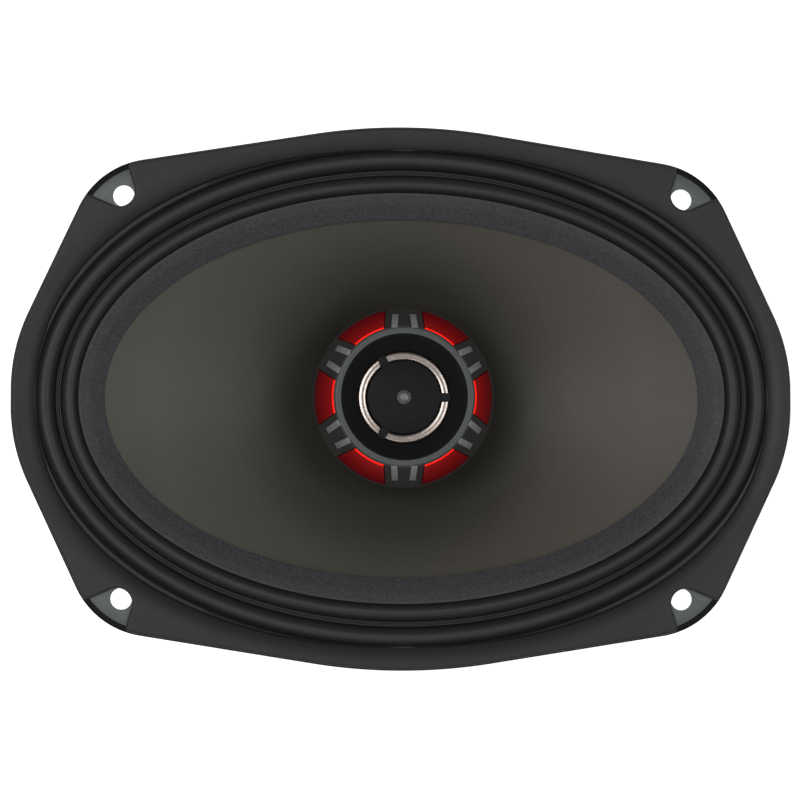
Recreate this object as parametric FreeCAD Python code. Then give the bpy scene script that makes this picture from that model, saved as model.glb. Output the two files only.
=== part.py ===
"""Two-way 6x9 coaxial car speaker, in millimetres.

The origin is the centre of the mounting plane, which is the rear face of the steel flange.
+Z is the way the speaker fires, X its long axis and Y its short axis.
"""
import FreeCAD, Part
import os
from math import asin, cos, hypot, pi, radians, sin, tan

Vector = FreeCAD.Vector
ORIGIN = Vector(0, 0, 0)
UP = Vector(0, 0, 1)

# Outline of the front: end, corner and crown arcs joined by straight sides and shoulders.
HALF_WIDTH = 117.7
HALF_HEIGHT = 82.0
END_FLAT = 2.4          # half length of the straight stretch at each end
END_RADIUS = 54.5
CORNER_RADIUS = 25.5
CROWN_RADIUS = 170.0
SIDE_ANGLE = 25.0       # normal of a straight side, from X
SHOULDER_ANGLE = 80.9   # normal of a straight shoulder, from X

# Bolt pattern: 6 5/8 by 4 3/4 inches.
HOLE_SPACING_X = 168.5
HOLE_SPACING_Y = 121.0
HOLE_RADIUS = 3.25
NOTCH_RADIUS = 4.6      # inner end of the gasket's notch at each hole
NOTCH_SHIFT = 1.75      # how far the notch sits outside the hole's centre
NOTCH_AXIS = 46.7       # direction in which the notch opens, from X
NOTCH_FLARE = 20.6      # angle of each notch edge from that direction
NOTCH_REACH = 40.0

# Front rings. Each is an ellipse with semi-axes a and a - OVAL_DIFFERENCE.
OVAL_DIFFERENCE = 35.5
BASKET_OPENING = 110.2
GASKET_OPENING = 110.5
LAND_EDGE = 113.0       # outer edge of the surround, glued between flange and gasket
SURROUND_LIP = 89.7     # inner edge of the surround, glued on the cone
CONE_RIM = 97.0

# Heights.
FLANGE_THICKNESS = 1.0
LAND_THICKNESS = 0.6
GASKET_TOP = 3.4
LEDGE_Z = -38.0
STEEL = 1.2
FLOOR_Z = -48.0
TOP_PLATE_THICKNESS = 5.0
MAGNET_THICKNESS = 16.0
YOKE_THICKNESS = 5.0
TOP_PLATE_Z = FLOOR_Z - STEEL
MAGNET_Z = TOP_PLATE_Z - TOP_PLATE_THICKNESS
YOKE_Z = MAGNET_Z - MAGNET_THICKNESS
BACK_Z = YOKE_Z - YOKE_THICKNESS
BOOT_SOLE = 2.4

# Motor and voice coil.
MAGNET_RADIUS = 45.0
PLATE_RADIUS = 38.0
YOKE_RADIUS = 40.0
POLE_RADIUS = 14.2
GAP_RADIUS = 16.2
COIL_INNER = 14.6
FORMER_WALL = 0.2
WINDING_WALL = 0.95
COIL_TOP = -31.5
COIL_BOTTOM = -57.0
COUNTERBORE_RADIUS = 9.0
COUNTERBORE_DEPTH = 3.6
RIVET_CIRCLE = 30.0

# Cone: from an elliptical rim to a round neck.
CONE_THICKNESS = 0.8
NECK_RADIUS = COIL_INNER + FORMER_WALL + 0.05
NECK_Z = -32.0
RIM_Z = 0.5
FLARE_POWER = 0.8       # below 1 the cone is steeper near its neck

# Tweeter post, which carries the tweeter over the cone and its two wires.
POST_RADIUS = 5.5
POST_STUD_RADIUS = 4.8
POST_BORE = 2.6
POST_TOP = -10.5
COLLAR_RADIUS = 7.5
COLLAR_HEIGHT = 2.7
WASHER_THICKNESS = 0.7
NUT_THICKNESS = 2.3
NUT_RADIUS = 7.5        # centre to corner

# Tweeter front.
RIM_RADIUS = 27.3
RIM_BASE = 3.0
SHOULDER_OUTER = (26.7, 4.8)
SHOULDER_INNER = (21.0, 11.6)
TRIM_OUTER = 20.65
TRIM_INNER = 18.8
TRIM_TOP = 12.5
PAD_HALF_INNER = 6.35   # a pad's half width inside the trim ring
PAD_HALF_OUTER = 4.95   # and outside the rim
ACCENT_RECESS = 0.25
ACCENT_DEPTH = 1.0
BAR_REACH = 24.6
BAR_WIDTH = 1.95
BAR_OFFSET = 2.9
BAR_HEIGHT = 0.45
THROAT_RADIUS = 13.9
PLUG_RADIUS = 11.0
BRIDGE_WIDTH = 2.6
PIN_RADIUS = 2.1
DIAPHRAGM_Z = 5.2
ROLL_CENTRE = 12.45
ROLL_RADIUS = 1.4
DIAPHRAGM_WALL = 0.25

# Terminals.
BOARD_Y = (-68.5, -54.5)
BOARD_HALF = 17.0
BOARD_THICKNESS = 1.6
TAB_HALF = 14.0
TERMINAL_X = 9.0
BOARD_TOP = LEDGE_Z + BOARD_THICKNESS
BLADE_THICKNESS = 0.8
BLADE_TIP_Y = -76.5
BLADE_RIVET_Y = -62.5
LUG_Y = -57.5
LUG_TOP = -31.5

# Crossover capacitor, under the basket's tab.
CAPACITOR_RADIUS = 4.5
CAPACITOR_HALF = 8.5
CAPACITOR_Y = -61.0
CAPACITOR_Z = LEDGE_Z - STEEL - CAPACITOR_RADIUS - 0.05

# Wires.
TWEETER_WIRE = 1.4
TINSEL = 1.2
EYELET_RADIUS = 1.5
EYELET_XY = (7.0, -22.5)
EYELET_Z = (-28.2, -24.2)


# ---- shared shapes ----

def arc_point(centre, radius, angle, z=0.0):
    return Vector(centre[0] + radius * cos(radians(angle)), centre[1] + radius * sin(radians(angle)), z)


def ellipse_wire(a, b, z):
    if abs(a - b) < 1e-6:
        curve = Part.Circle(Vector(0, 0, z), UP, a)
    else:
        curve = Part.Ellipse(Vector(0, 0, z), a, b)
    return Part.Wire([curve.toShape()])


def oval(a):
    return a, a - OVAL_DIFFERENCE


def oval_prism(a, low, high):
    return Part.Face(ellipse_wire(*oval(a), low)).extrude(Vector(0, 0, high - low))


def oval_shell(profile):
    """Closed ring whose section goes through the (a, b, z) points of the profile in order."""
    rims = [ellipse_wire(a, b, z).Edges[0] for a, b, z in profile]
    walls = [Part.makeRuledSurface(rim, after) for rim, after in zip(rims, rims[1:] + rims[:1])]
    solid = Part.Solid(Part.Shell(walls))
    if solid.Volume < 0:
        solid.reverse()
    return solid


def disc(radius, low, high):
    return Part.makeCylinder(radius, high - low, Vector(0, 0, low))


def ring(outer, inner, low, high):
    return disc(outer, low, high).cut(disc(inner, low - 1, high + 1))


def polygon_face(points):
    return Part.Face(Part.makePolygon(points + points[:1]))


def turned(profile):
    """Solid turned about the axis from a closed polygon of (radius, z) points."""
    return polygon_face([Vector(r, 0, z) for r, z in profile]).revolve(ORIGIN, UP, 360)


def block(x, y, z):
    """Box from three (low, high) pairs."""
    return Part.makeBox(x[1] - x[0], y[1] - y[0], z[1] - z[0], Vector(x[0], y[0], z[0]))


def turned_copies(shape, angles):
    copies = []
    for angle in angles:
        copy = shape.copy()
        copy.rotate(ORIGIN, UP, angle)
        copies.append(copy)
    return copies


def mirrored_pair(shape):
    """The shape and its mirror image across the YZ plane."""
    return [shape, shape.mirror(ORIGIN, Vector(1, 0, 0))]


def at_four_corners(shape):
    pair = mirrored_pair(shape)
    return pair + [half.mirror(ORIGIN, Vector(0, 1, 0)) for half in pair]


def pin(radius, x, y, low, high):
    return Part.makeCylinder(radius, high - low, Vector(x, y, low))


def rivet(x, y, low, high, shank, head, head_height):
    """Rivet with a shank from low to high and a head above it."""
    return pin(shank, x, y, low, high).fuse(pin(head, x, y, high, high + head_height)).removeSplitter()


def wire_tube(name, points, diameter, radii=None):
    """Round wire along straight runs that are joined by tangent arcs.

    An arc is as large as its two runs allow, unless radii gives another radius for its point.
    """
    points = [Vector(*point) for point in points]
    edges = []
    used = []
    start = points[0]
    for index in range(1, len(points) - 1):
        before, corner, after = points[index - 1:index + 2]
        into = (corner - before).normalize()
        out = (after - corner).normalize()
        half_turn = into.getAngle(out) / 2
        shorter = min((corner - before).Length, (after - corner).Length)
        radius = (radii or {}).get(index, 0.45 * shorter / tan(half_turn))
        reach = radius * tan(half_turn)
        first = corner - into * reach
        last = corner + out * reach
        inward = (out - into).normalize()
        middle = corner + inward * (radius / cos(half_turn) - radius)
        edges.append(Part.LineSegment(start, first).toShape())
        edges.append(Part.Arc(first, middle, last).toShape())
        used.append(radius)
        start = last
    edges.append(Part.LineSegment(start, points[-1]).toShape())
    path = Part.Wire(edges)
    section = Part.Wire([Part.Circle(points[0], points[1] - points[0], diameter / 2).toShape()])
    tube = path.makePipeShell([section], True, False)
    expected = path.Length * pi * (diameter / 2) ** 2
    print(name, "length", round(path.Length, 1), "radii", [round(radius, 1) for radius in used],
          "volume ratio", round(tube.Volume / expected, 3))
    return tube


# ---- front outline, flange and basket ----

def outline_arcs(inset):
    """Arcs of the outline, moved inwards by inset, as (centre, radius, first angle, last angle)."""
    end = (HALF_WIDTH - END_RADIUS, END_FLAT)
    crown = (0.0, HALF_HEIGHT - CROWN_RADIUS)
    side, shoulder = radians(SIDE_ANGLE), radians(SHOULDER_ANGLE)
    # The corner arc's centre lies one corner radius inside both straight edges.
    side_reach = end[0] * cos(side) + end[1] * sin(side) + END_RADIUS - CORNER_RADIUS
    shoulder_reach = crown[0] * cos(shoulder) + crown[1] * sin(shoulder) + CROWN_RADIUS - CORNER_RADIUS
    spread = sin(shoulder - side)
    corner = ((side_reach * sin(shoulder) - shoulder_reach * sin(side)) / spread,
              (shoulder_reach * cos(side) - side_reach * cos(shoulder)) / spread)
    quarter = [(end, END_RADIUS - inset, 0.0, SIDE_ANGLE),
               (corner, CORNER_RADIUS - inset, SIDE_ANGLE, SHOULDER_ANGLE),
               (crown, CROWN_RADIUS - inset, SHOULDER_ANGLE, 90.0)]
    mirrored = [((-x, y), radius, 180 - last, 180 - first)
                for (x, y), radius, first, last in reversed(quarter)]
    half = quarter + mirrored
    return half + [((-x, -y), radius, first + 180, last + 180) for (x, y), radius, first, last in half]


def outline_prism(inset, low, high):
    arcs = outline_arcs(inset)
    edges = []
    for index, (centre, radius, first, last) in enumerate(arcs):
        points = [arc_point(centre, radius, angle, low) for angle in (first, (first + last) / 2, last)]
        edges.append(Part.Arc(*points).toShape())
        next_centre, next_radius, next_first, _ = arcs[(index + 1) % len(arcs)]
        joint = arc_point(next_centre, next_radius, next_first, low)
        if joint.distanceToPoint(points[2]) > 1e-6:
            edges.append(Part.LineSegment(points[2], joint).toShape())
    return Part.Face(Part.Wire(edges)).extrude(Vector(0, 0, high - low))


def mounting_holes(low, high):
    return at_four_corners(pin(HOLE_RADIUS, HOLE_SPACING_X / 2, HOLE_SPACING_Y / 2, low, high))


def basket_window(angle, low_half, high_half):
    """Radial cutter with rounded corners, narrower at its lower edge."""
    low, high, near, far, corner = -36.3, -18.5, 36.0, 125.0, 3.0
    face = polygon_face([Vector(near, -low_half, low), Vector(near, low_half, low),
                         Vector(near, high_half, high), Vector(near, -high_half, high)])
    prism = face.extrude(Vector(far - near, 0, 0))
    radial = [edge for edge in prism.Edges if edge.BoundBox.XLength > far - near - 1]
    return turned_copies(prism.makeFillet(corner, radial), [angle])[0]


def basket():
    """Stamped steel: flange, steep outer wall, windowed arms, spider ledge and motor seat."""
    flange = outline_prism(0.0, 0.0, FLANGE_THICKNESS)
    flange = flange.cut(oval_prism(BASKET_OPENING + 0.5, -1, 2))
    a, b = oval(BASKET_OPENING)
    wall = oval_shell([(a + 1, b + 1, FLANGE_THICKNESS), (a + 1, b + 1, 0), (a - 1, b - 1, -12),
                       (100, 66.5, -17), (52, 51, LEDGE_Z - 0.5),
                       (51.4, 50.4, LEDGE_Z + 0.5), (99.6, 66.1, -16),
                       (a - 2, b - 2, -11.5), (a, b, 0), (a, b, FLANGE_THICKNESS)])
    seat = turned([(53, LEDGE_Z), (44.6, LEDGE_Z), (41, FLOOR_Z), (GAP_RADIUS + 1, FLOOR_Z),
                   (GAP_RADIUS + 1, TOP_PLATE_Z), (41.8, TOP_PLATE_Z), (45.2, LEDGE_Z - STEEL),
                   (53, LEDGE_Z - STEEL)])
    tab = block((-TAB_HALF, TAB_HALF), (BOARD_Y[0] + 2, -48), (LEDGE_Z - STEEL, LEDGE_Z))
    body = flange.fuse([wall, seat, tab]).removeSplitter()
    windows = [basket_window(angle, 12, 17) for angle in (0, 180)]
    windows += [basket_window(angle, 12, 16) for angle in (90, 270)]
    windows += [basket_window(angle, 11, 15) for angle in (40, 140, 220, 320)]
    rivet_holes = [pin(1.5, x, y, TOP_PLATE_Z - 1, FLOOR_Z + 1) for x, y in rivet_places()]
    board_holes = [pin(1.2, 0, y, LEDGE_Z - 2, LEDGE_Z + 1) for y in board_rivet_places()]
    return body.cut(windows + rivet_holes + board_holes + mounting_holes(-1, 2))


def gasket_notch():
    """Cutter for the notch that leaves each bolt hole and the steel round it bare."""
    axis = arc_point((0, 0), 1.0, NOTCH_AXIS)
    centre = (HOLE_SPACING_X / 2 + NOTCH_SHIFT * axis.x, HOLE_SPACING_Y / 2 + NOTCH_SHIFT * axis.y)
    turn = 90 + NOTCH_FLARE
    inner = [arc_point(centre, NOTCH_RADIUS, NOTCH_AXIS + angle, -1) for angle in (turn, 180, -turn)]
    outer = [tangent + arc_point((0, 0), NOTCH_REACH, NOTCH_AXIS + flare)
             for tangent, flare in ((inner[2], -NOTCH_FLARE), (inner[0], NOTCH_FLARE))]
    edges = [Part.Arc(*inner).toShape()]
    corners = [inner[2]] + outer + [inner[0]]
    for first, last in zip(corners, corners[1:]):
        edges.append(Part.LineSegment(first, last).toShape())
    return Part.Face(Part.Wire(edges)).extrude(Vector(0, 0, GASKET_TOP + 2))


def front_gasket():
    edge_inset, chamfer = 0.6, 0.8
    body = outline_prism(edge_inset, FLANGE_THICKNESS, GASKET_TOP - chamfer)
    body = body.fuse(outline_prism(edge_inset + chamfer, FLANGE_THICKNESS, GASKET_TOP)).removeSplitter()
    opening = oval_prism(GASKET_OPENING, 0, GASKET_TOP + 1)
    pocket = oval_prism(LAND_EDGE + 0.2, FLANGE_THICKNESS - 1, FLANGE_THICKNESS + LAND_THICKNESS)
    holes = mounting_holes(0, GASKET_TOP + 1)
    return body.cut([opening, pocket] + at_four_corners(gasket_notch()) + holes)


# ---- cone assembly ----

def cone_ovals(shift):
    """Sections of one cone surface, from neck to rim, moved along Z by shift."""
    rim_a, rim_b = oval(CONE_RIM)
    sections = []
    for part in (0.0, 0.08, 0.2, 0.36, 0.55, 0.76, 1.0):
        a = NECK_RADIUS + (rim_a - NECK_RADIUS) * part
        b = NECK_RADIUS + (rim_b - NECK_RADIUS) * part
        sections.append((a, b, NECK_Z + (RIM_Z - NECK_Z) * part ** FLARE_POWER + shift))
    return sections


def cone():
    upper = cone_ovals(0.0)
    lower = cone_ovals(-CONE_THICKNESS)
    lower[0] = (NECK_RADIUS + CONE_THICKNESS, NECK_RADIUS + CONE_THICKNESS, NECK_Z - 1.5)
    neck_end = [(NECK_RADIUS, NECK_RADIUS, NECK_Z - 1.5)]
    shell = oval_shell(upper + lower[::-1] + neck_end)
    eyelet = pin(EYELET_RADIUS, *EYELET_XY, *EYELET_Z)
    return shell.cut(mirrored_pair(eyelet))


def surround():
    """Double-roll edge: outer land on the flange, two raised rolls, and a lip glued on the cone."""
    land = FLANGE_THICKNESS
    glue = RIM_Z + 0.05
    heights = [(LAND_EDGE, land), (109.8, land), (108.8, land + 1.6), (107.4, land + 2.2),
               (106.0, land + 1.4), (104.9, land - 0.8), (103.6, land - 1.2), (102.4, land - 0.8),
               (101.6, land + 1.3), (100.4, land + 2.0), (99.1, land + 1.4), (98.0, glue + 0.1),
               (CONE_RIM, glue), (SURROUND_LIP, cone_height(SURROUND_LIP) + 0.05)]
    under = [(*oval(a), z) for a, z in heights]
    over = [(*oval(a), z + LAND_THICKNESS) for a, z in reversed(heights)]
    return oval_shell(under + over)


def cone_height(a):
    """Height of the cone's upper surface where its long semi-axis is a."""
    part = (a - NECK_RADIUS) / (CONE_RIM - NECK_RADIUS)
    return NECK_Z + (RIM_Z - NECK_Z) * part ** FLARE_POWER


def spider():
    """Corrugated centring disc from the coil former to the ledge of the basket."""
    inner, outer, first, last = COIL_INNER + FORMER_WALL + 0.1, 49.4, 17.5, 43.5
    thickness, base, swing, steps = 0.6, LEDGE_Z + 0.05, 1.3, 10
    middle = base + swing
    profile = [(inner, middle)]
    for step in range(steps + 1):
        radius = first + (last - first) * step / steps
        profile.append((radius, middle + (swing if step % 2 else -swing)))
    profile += [(45.2, base), (outer, base)]
    upper = [(radius, z + thickness) for radius, z in reversed(profile)]
    return turned(profile + upper)


def voice_coil_former():
    return ring(COIL_INNER + FORMER_WALL, COIL_INNER, COIL_BOTTOM, COIL_TOP)


def voice_coil_winding():
    inner = COIL_INNER + FORMER_WALL
    return ring(inner + WINDING_WALL, inner, COIL_BOTTOM + 0.5, COIL_BOTTOM + 10.5)


def dust_ring():
    """Felt washer that closes the coil round the post without touching it."""
    return ring(COIL_INNER - 0.05, POST_RADIUS + 0.6, COIL_TOP - 2.5, COIL_TOP - 1.0)


def lead_eyelets():
    return Part.makeCompound(mirrored_pair(pin(EYELET_RADIUS, *EYELET_XY, *EYELET_Z)))


# ---- motor ----

def rivet_places():
    return [(RIVET_CIRCLE * cos(radians(angle)), RIVET_CIRCLE * sin(radians(angle)))
            for angle in (45, 135, 225, 315)]


def top_plate():
    plate = ring(PLATE_RADIUS, GAP_RADIUS, MAGNET_Z, TOP_PLATE_Z)
    return plate.cut([pin(1.5, x, y, TOP_PLATE_Z - 4, TOP_PLATE_Z + 1) for x, y in rivet_places()])


def motor_rivets():
    return Part.makeCompound([rivet(x, y, TOP_PLATE_Z - 4, FLOOR_Z, 1.5, 3.2, 1.2)
                              for x, y in rivet_places()])


def magnet():
    bore, bevel = 22.0, 1.0
    return turned([(bore, YOKE_Z), (MAGNET_RADIUS - bevel, YOKE_Z), (MAGNET_RADIUS, YOKE_Z + bevel),
                   (MAGNET_RADIUS, MAGNET_Z - bevel), (MAGNET_RADIUS - bevel, MAGNET_Z), (bore, MAGNET_Z)])


def t_yoke():
    bevel = 0.8
    seat = BACK_Z + COUNTERBORE_DEPTH
    bore = POST_STUD_RADIUS + 0.05
    return turned([(bore, seat), (COUNTERBORE_RADIUS, seat), (COUNTERBORE_RADIUS, BACK_Z),
                   (YOKE_RADIUS - bevel, BACK_Z), (YOKE_RADIUS, BACK_Z + bevel), (YOKE_RADIUS, YOKE_Z),
                   (POLE_RADIUS, YOKE_Z), (POLE_RADIUS, TOP_PLATE_Z - bevel),
                   (POLE_RADIUS - bevel, TOP_PLATE_Z), (bore, TOP_PLATE_Z)])


def wire_groove():
    """Cutter for the channel that takes the tweeter wires down and under the boot."""
    half_width, depth, sole = 3.4, MAGNET_RADIUS + 0.9, BACK_Z - 0.2
    face = polygon_face([Vector(-half_width, y, z) for y, z in
                         ((-50, -51), (-depth, -51), (-depth, YOKE_Z - 0.4), (-41.2, sole),
                          (-19, sole), (-19, BACK_Z - 4), (-50, BACK_Z - 4))])
    return face.extrude(Vector(2 * half_width, 0, 0))


def magnet_boot():
    """Rubber cover that grips the magnet and is what the speaker stands on."""
    outer, inner, edge, bevel = 48.5, MAGNET_RADIUS + 0.3, 43.5, 1.5
    sole = BACK_Z - BOOT_SOLE
    body = turned([(edge, -52), (edge, MAGNET_Z + 0.1), (inner, MAGNET_Z + 0.1), (inner, YOKE_Z - 0.2),
                   (YOKE_RADIUS + 0.3, YOKE_Z - 0.2), (YOKE_RADIUS + 0.3, BACK_Z - 0.05),
                   (20, BACK_Z - 0.05), (20, sole), (outer - bevel, sole), (outer, sole + bevel),
                   (outer, -52 - bevel), (outer - bevel, -52)])
    return body.cut(wire_groove())


def tweeter_post():
    """Hollow stud through the pole, with the collar that it is clamped by."""
    collar_top = TOP_PLATE_Z + COLLAR_HEIGHT
    return turned([(POST_BORE, BACK_Z + 0.3), (POST_STUD_RADIUS, BACK_Z + 0.3),
                   (POST_STUD_RADIUS, TOP_PLATE_Z), (COLLAR_RADIUS, TOP_PLATE_Z),
                   (COLLAR_RADIUS, collar_top), (POST_RADIUS, collar_top),
                   (POST_RADIUS, POST_TOP), (POST_BORE, POST_TOP)])


def post_washer():
    seat = BACK_Z + COUNTERBORE_DEPTH
    return ring(8.2, POST_STUD_RADIUS + 0.1, seat - WASHER_THICKNESS, seat)


def post_nut():
    top = BACK_Z + COUNTERBORE_DEPTH - WASHER_THICKNESS
    corners = [arc_point((0, 0), NUT_RADIUS, 60 * side, top - NUT_THICKNESS) for side in range(6)]
    prism = polygon_face(corners).extrude(Vector(0, 0, NUT_THICKNESS))
    return prism.cut(disc(POST_STUD_RADIUS, top - NUT_THICKNESS - 1, top + 1))


# ---- terminals and wiring ----

def board_rivet_places():
    return (-59.0, -65.5)


def board_holes():
    """Cutters for every hole in the terminal board."""
    cutters = [pin(1.2, 0, y, LEDGE_Z - 1, BOARD_TOP + 1) for y in board_rivet_places()]
    for x in (-TERMINAL_X, TERMINAL_X):
        cutters.append(pin(1.0, x, BLADE_RIVET_Y, LEDGE_Z - 1, BOARD_TOP + 1))
    return cutters + mirrored_pair(pin(0.4, 15.5, -61, LEDGE_Z - 1, BOARD_TOP + 1))


def terminal_board():
    board = block((-BOARD_HALF, BOARD_HALF), BOARD_Y, (LEDGE_Z, BOARD_TOP))
    return board.cut(board_holes())


def terminal(x, width):
    """Blade that points away from the speaker, with an upright lug for the lead to the cone."""
    blade_top = BOARD_TOP + BLADE_THICKNESS
    lug_half, hole_from_tip = 1.8, 4.2
    blade = block((x - width / 2, x + width / 2), (BLADE_TIP_Y, LUG_Y), (BOARD_TOP, blade_top))
    lug = block((x - lug_half, x + lug_half), (LUG_Y - BLADE_THICKNESS, LUG_Y), (BOARD_TOP, LUG_TOP))
    tip_edges = [edge for edge in blade.Edges
                 if edge.BoundBox.ZLength > 0.5 and edge.BoundBox.YMax < BLADE_TIP_Y + 0.1]
    body = blade.makeFillet(1.2, tip_edges).fuse(lug).removeSplitter()
    holes = [pin(1.0, x, BLADE_RIVET_Y, BOARD_TOP - 1, blade_top + 1),
             pin(0.8, x, BLADE_TIP_Y + hole_from_tip, BOARD_TOP - 1, blade_top + 1)]
    return body.cut(holes)


def terminal_rivets():
    blade_top = BOARD_TOP + BLADE_THICKNESS
    return Part.makeCompound([rivet(x, BLADE_RIVET_Y, LEDGE_Z, blade_top, 1.0, 1.9, 0.7)
                              for x in (-TERMINAL_X, TERMINAL_X)])


def board_rivets():
    return Part.makeCompound([rivet(0, y, LEDGE_Z - STEEL, BOARD_TOP, 1.2, 2.3, 0.9)
                              for y in board_rivet_places()])


def crossover_capacitor():
    body = Part.makeCylinder(CAPACITOR_RADIUS, 2 * CAPACITOR_HALF,
                             Vector(-CAPACITOR_HALF, CAPACITOR_Y, CAPACITOR_Z), Vector(1, 0, 0))
    return body.makeFillet(0.8, [edge for edge in body.Edges if edge.BoundBox.XLength < 0.1])


def capacitor_leads():
    route = [(CAPACITOR_HALF, CAPACITOR_Y, CAPACITOR_Z), (15.5, CAPACITOR_Y, CAPACITOR_Z),
             (15.5, CAPACITOR_Y, BOARD_TOP + 0.8)]
    return Part.makeCompound(mirrored_pair(wire_tube("capacitor lead", route, 0.8)))


def tweeter_wire():
    """One insulated wire: board, side of the magnet, under the boot, up the post, tweeter."""
    side, under = -47.2, BACK_Z - 1.3
    route = [(15.5, -57, LEDGE_Z), (15.5, -57, -44.5), (8, -53, -52.5), (1.4, -47.9, -60.5),
             (1.2, side, YOKE_Z - 0.6), (1.2, -42.5, under), (1.2, 0, under), (1.2, 0, -66.5),
             (1.35, 0.3, -38), (1.2, 0, -8.5), (9, 0, -6.2), (15.8, 0, -3.2), (15.8, 0, 2.5)]
    return wire_tube("tweeter wire", route, TWEETER_WIRE)


def tinsel_lead():
    """Limp braided lead from a terminal's lug through the window to an eyelet under the cone."""
    x, y = EYELET_XY
    route = [(TERMINAL_X, LUG_Y, -33.0), (TERMINAL_X, -51.5, -33.0), (8.6, -42.5, -31.0),
             (8, -32, -31.6), (x, y, -32.2), (x, y, EYELET_Z[0])]
    return wire_tube("tinsel lead", route, TINSEL, {4: 3 * TINSEL})


# ---- tweeter ----

def shoulder_layer(near, far, first=0.0, last=1.0):
    """Turned layer over the tweeter's sloping shoulder, between two offsets along its normal."""
    run = SHOULDER_OUTER[0] - SHOULDER_INNER[0]
    drop = SHOULDER_INNER[1] - SHOULDER_OUTER[1]
    slope = hypot(run, drop)
    normal = (drop / slope, run / slope)
    corners = []
    for part, offset in ((first, near), (last, near), (last, far), (first, far)):
        radius = SHOULDER_INNER[0] + run * part + normal[0] * offset
        z = SHOULDER_INNER[1] - drop * part + normal[1] * offset
        corners.append((radius, z))
    return turned(corners)


def pad_prisms():
    """Upright wedges over the six pads."""
    near, far, low, high = 17.0, 30.0, 0.0, 20.0
    face = polygon_face([Vector(near, -PAD_HALF_INNER, low), Vector(far, -PAD_HALF_OUTER, low),
                         Vector(far, PAD_HALF_OUTER, low), Vector(near, PAD_HALF_INNER, low)])
    return turned_copies(face.extrude(Vector(0, 0, high)), range(30, 390, 60))


def accent_shapes():
    layer = shoulder_layer(-ACCENT_DEPTH, -ACCENT_RECESS, 0.02, 0.97)
    return layer.cut(pad_prisms())


def tweeter_housing():
    """Moulded cup on top of the post."""
    return turned([(POST_RADIUS, -13), (8.5, -13), (17.5, -10.5), (23, -5), (26.3, 1),
                   (RIM_RADIUS, RIM_BASE), (25.9, RIM_BASE), (24.9, 1.2), (21.6, -4.2), (16.6, -9.2),
                   (POST_RADIUS, POST_TOP)])


def tweeter_bezel():
    """Front cover: a flat top for the trim ring and a shoulder with pockets between six pads."""
    body = turned([(RIM_RADIUS, RIM_BASE), (RIM_RADIUS, 4.0), SHOULDER_OUTER, SHOULDER_INNER,
                   (TRIM_INNER, SHOULDER_INNER[1]), (TRIM_INNER, 9.6), (20.3, 9.6), (25.2, RIM_BASE)])
    pockets = shoulder_layer(-ACCENT_DEPTH, 0.6, 0.02, 0.97).cut(pad_prisms())
    return body.cut(pockets)


def red_accents():
    return Part.makeCompound(accent_shapes().Solids)


def tweeter_trim_ring():
    """Flat ring with twelve bars that run down the pads, two on each."""
    base = SHOULDER_INNER[1]
    body = ring(TRIM_OUTER, TRIM_INNER, base, TRIM_TOP)
    neck = ring(SHOULDER_INNER[0] + 0.1, TRIM_OUTER - 1, base, base + BAR_HEIGHT)
    run = SHOULDER_OUTER[0] - SHOULDER_INNER[0]
    layer = neck.fuse(shoulder_layer(0.0, BAR_HEIGHT, 0.0, (BAR_REACH - SHOULDER_INNER[0]) / run))
    half = BAR_WIDTH / 2
    bars = []
    for offset in (-BAR_OFFSET, BAR_OFFSET):
        bar = block((TRIM_OUTER - 1, 30), (offset - half, offset + half), (0, 20))
        bars += turned_copies(bar, range(30, 390, 60))
    return body.fuse([layer.common(bar) for bar in bars]).removeSplitter()


def screw_places():
    return [(17.8 * cos(radians(angle)), 17.8 * sin(radians(angle))) for angle in (90, 210, 330)]


def screw_shapes():
    screws = []
    for x, y in screw_places():
        screws.append(pin(1.8, x, y, 1.3, 2.5).fuse(pin(0.9, x, y, 2.5, 8.6)).removeSplitter())
    return screws


def tweeter_screws():
    return Part.makeCompound(screw_shapes())


def tweeter_waveguide():
    """Dish with the phase plug held in its throat by three bridges."""
    base = 7.2
    dish = turned([(18.75, 11.8), (THROAT_RADIUS, 8.4), (THROAT_RADIUS, base), (20, base), (20, 9.55),
                   (18.75, 9.55)])
    plug = turned([(0, base), (PLUG_RADIUS - 0.4, base), (PLUG_RADIUS, 7.6), (PLUG_RADIUS, 8.2), (4, 8.9), (0, 9)])
    bridge = block((PLUG_RADIUS - 1, THROAT_RADIUS + 1), (-BRIDGE_WIDTH / 2, BRIDGE_WIDTH / 2), (7.3, 8.1))
    body = dish.fuse([plug] + turned_copies(bridge, (0, 120, 240))).removeSplitter()
    return body.cut(screw_shapes() + [disc(1.2, 7.8, 10)])


def phase_plug_pin():
    return turned([(0, 7.8), (1.2, 7.8), (1.2, 8.99), (PIN_RADIUS, 8.99), (1.7, 9.45), (0, 9.6)])


def cap_arc(radius, low, rise):
    """Section of a shallow dome: an arc from its top on the axis down to its edge at low."""
    curvature = (radius ** 2 + rise ** 2) / (2 * rise)
    half = asin(radius / curvature) / 2
    middle = Vector(curvature * sin(half), 0, low + rise - curvature * (1 - cos(half)))
    return Part.Arc(Vector(0, 0, low + rise), middle, Vector(radius, 0, low)).toShape()


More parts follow.
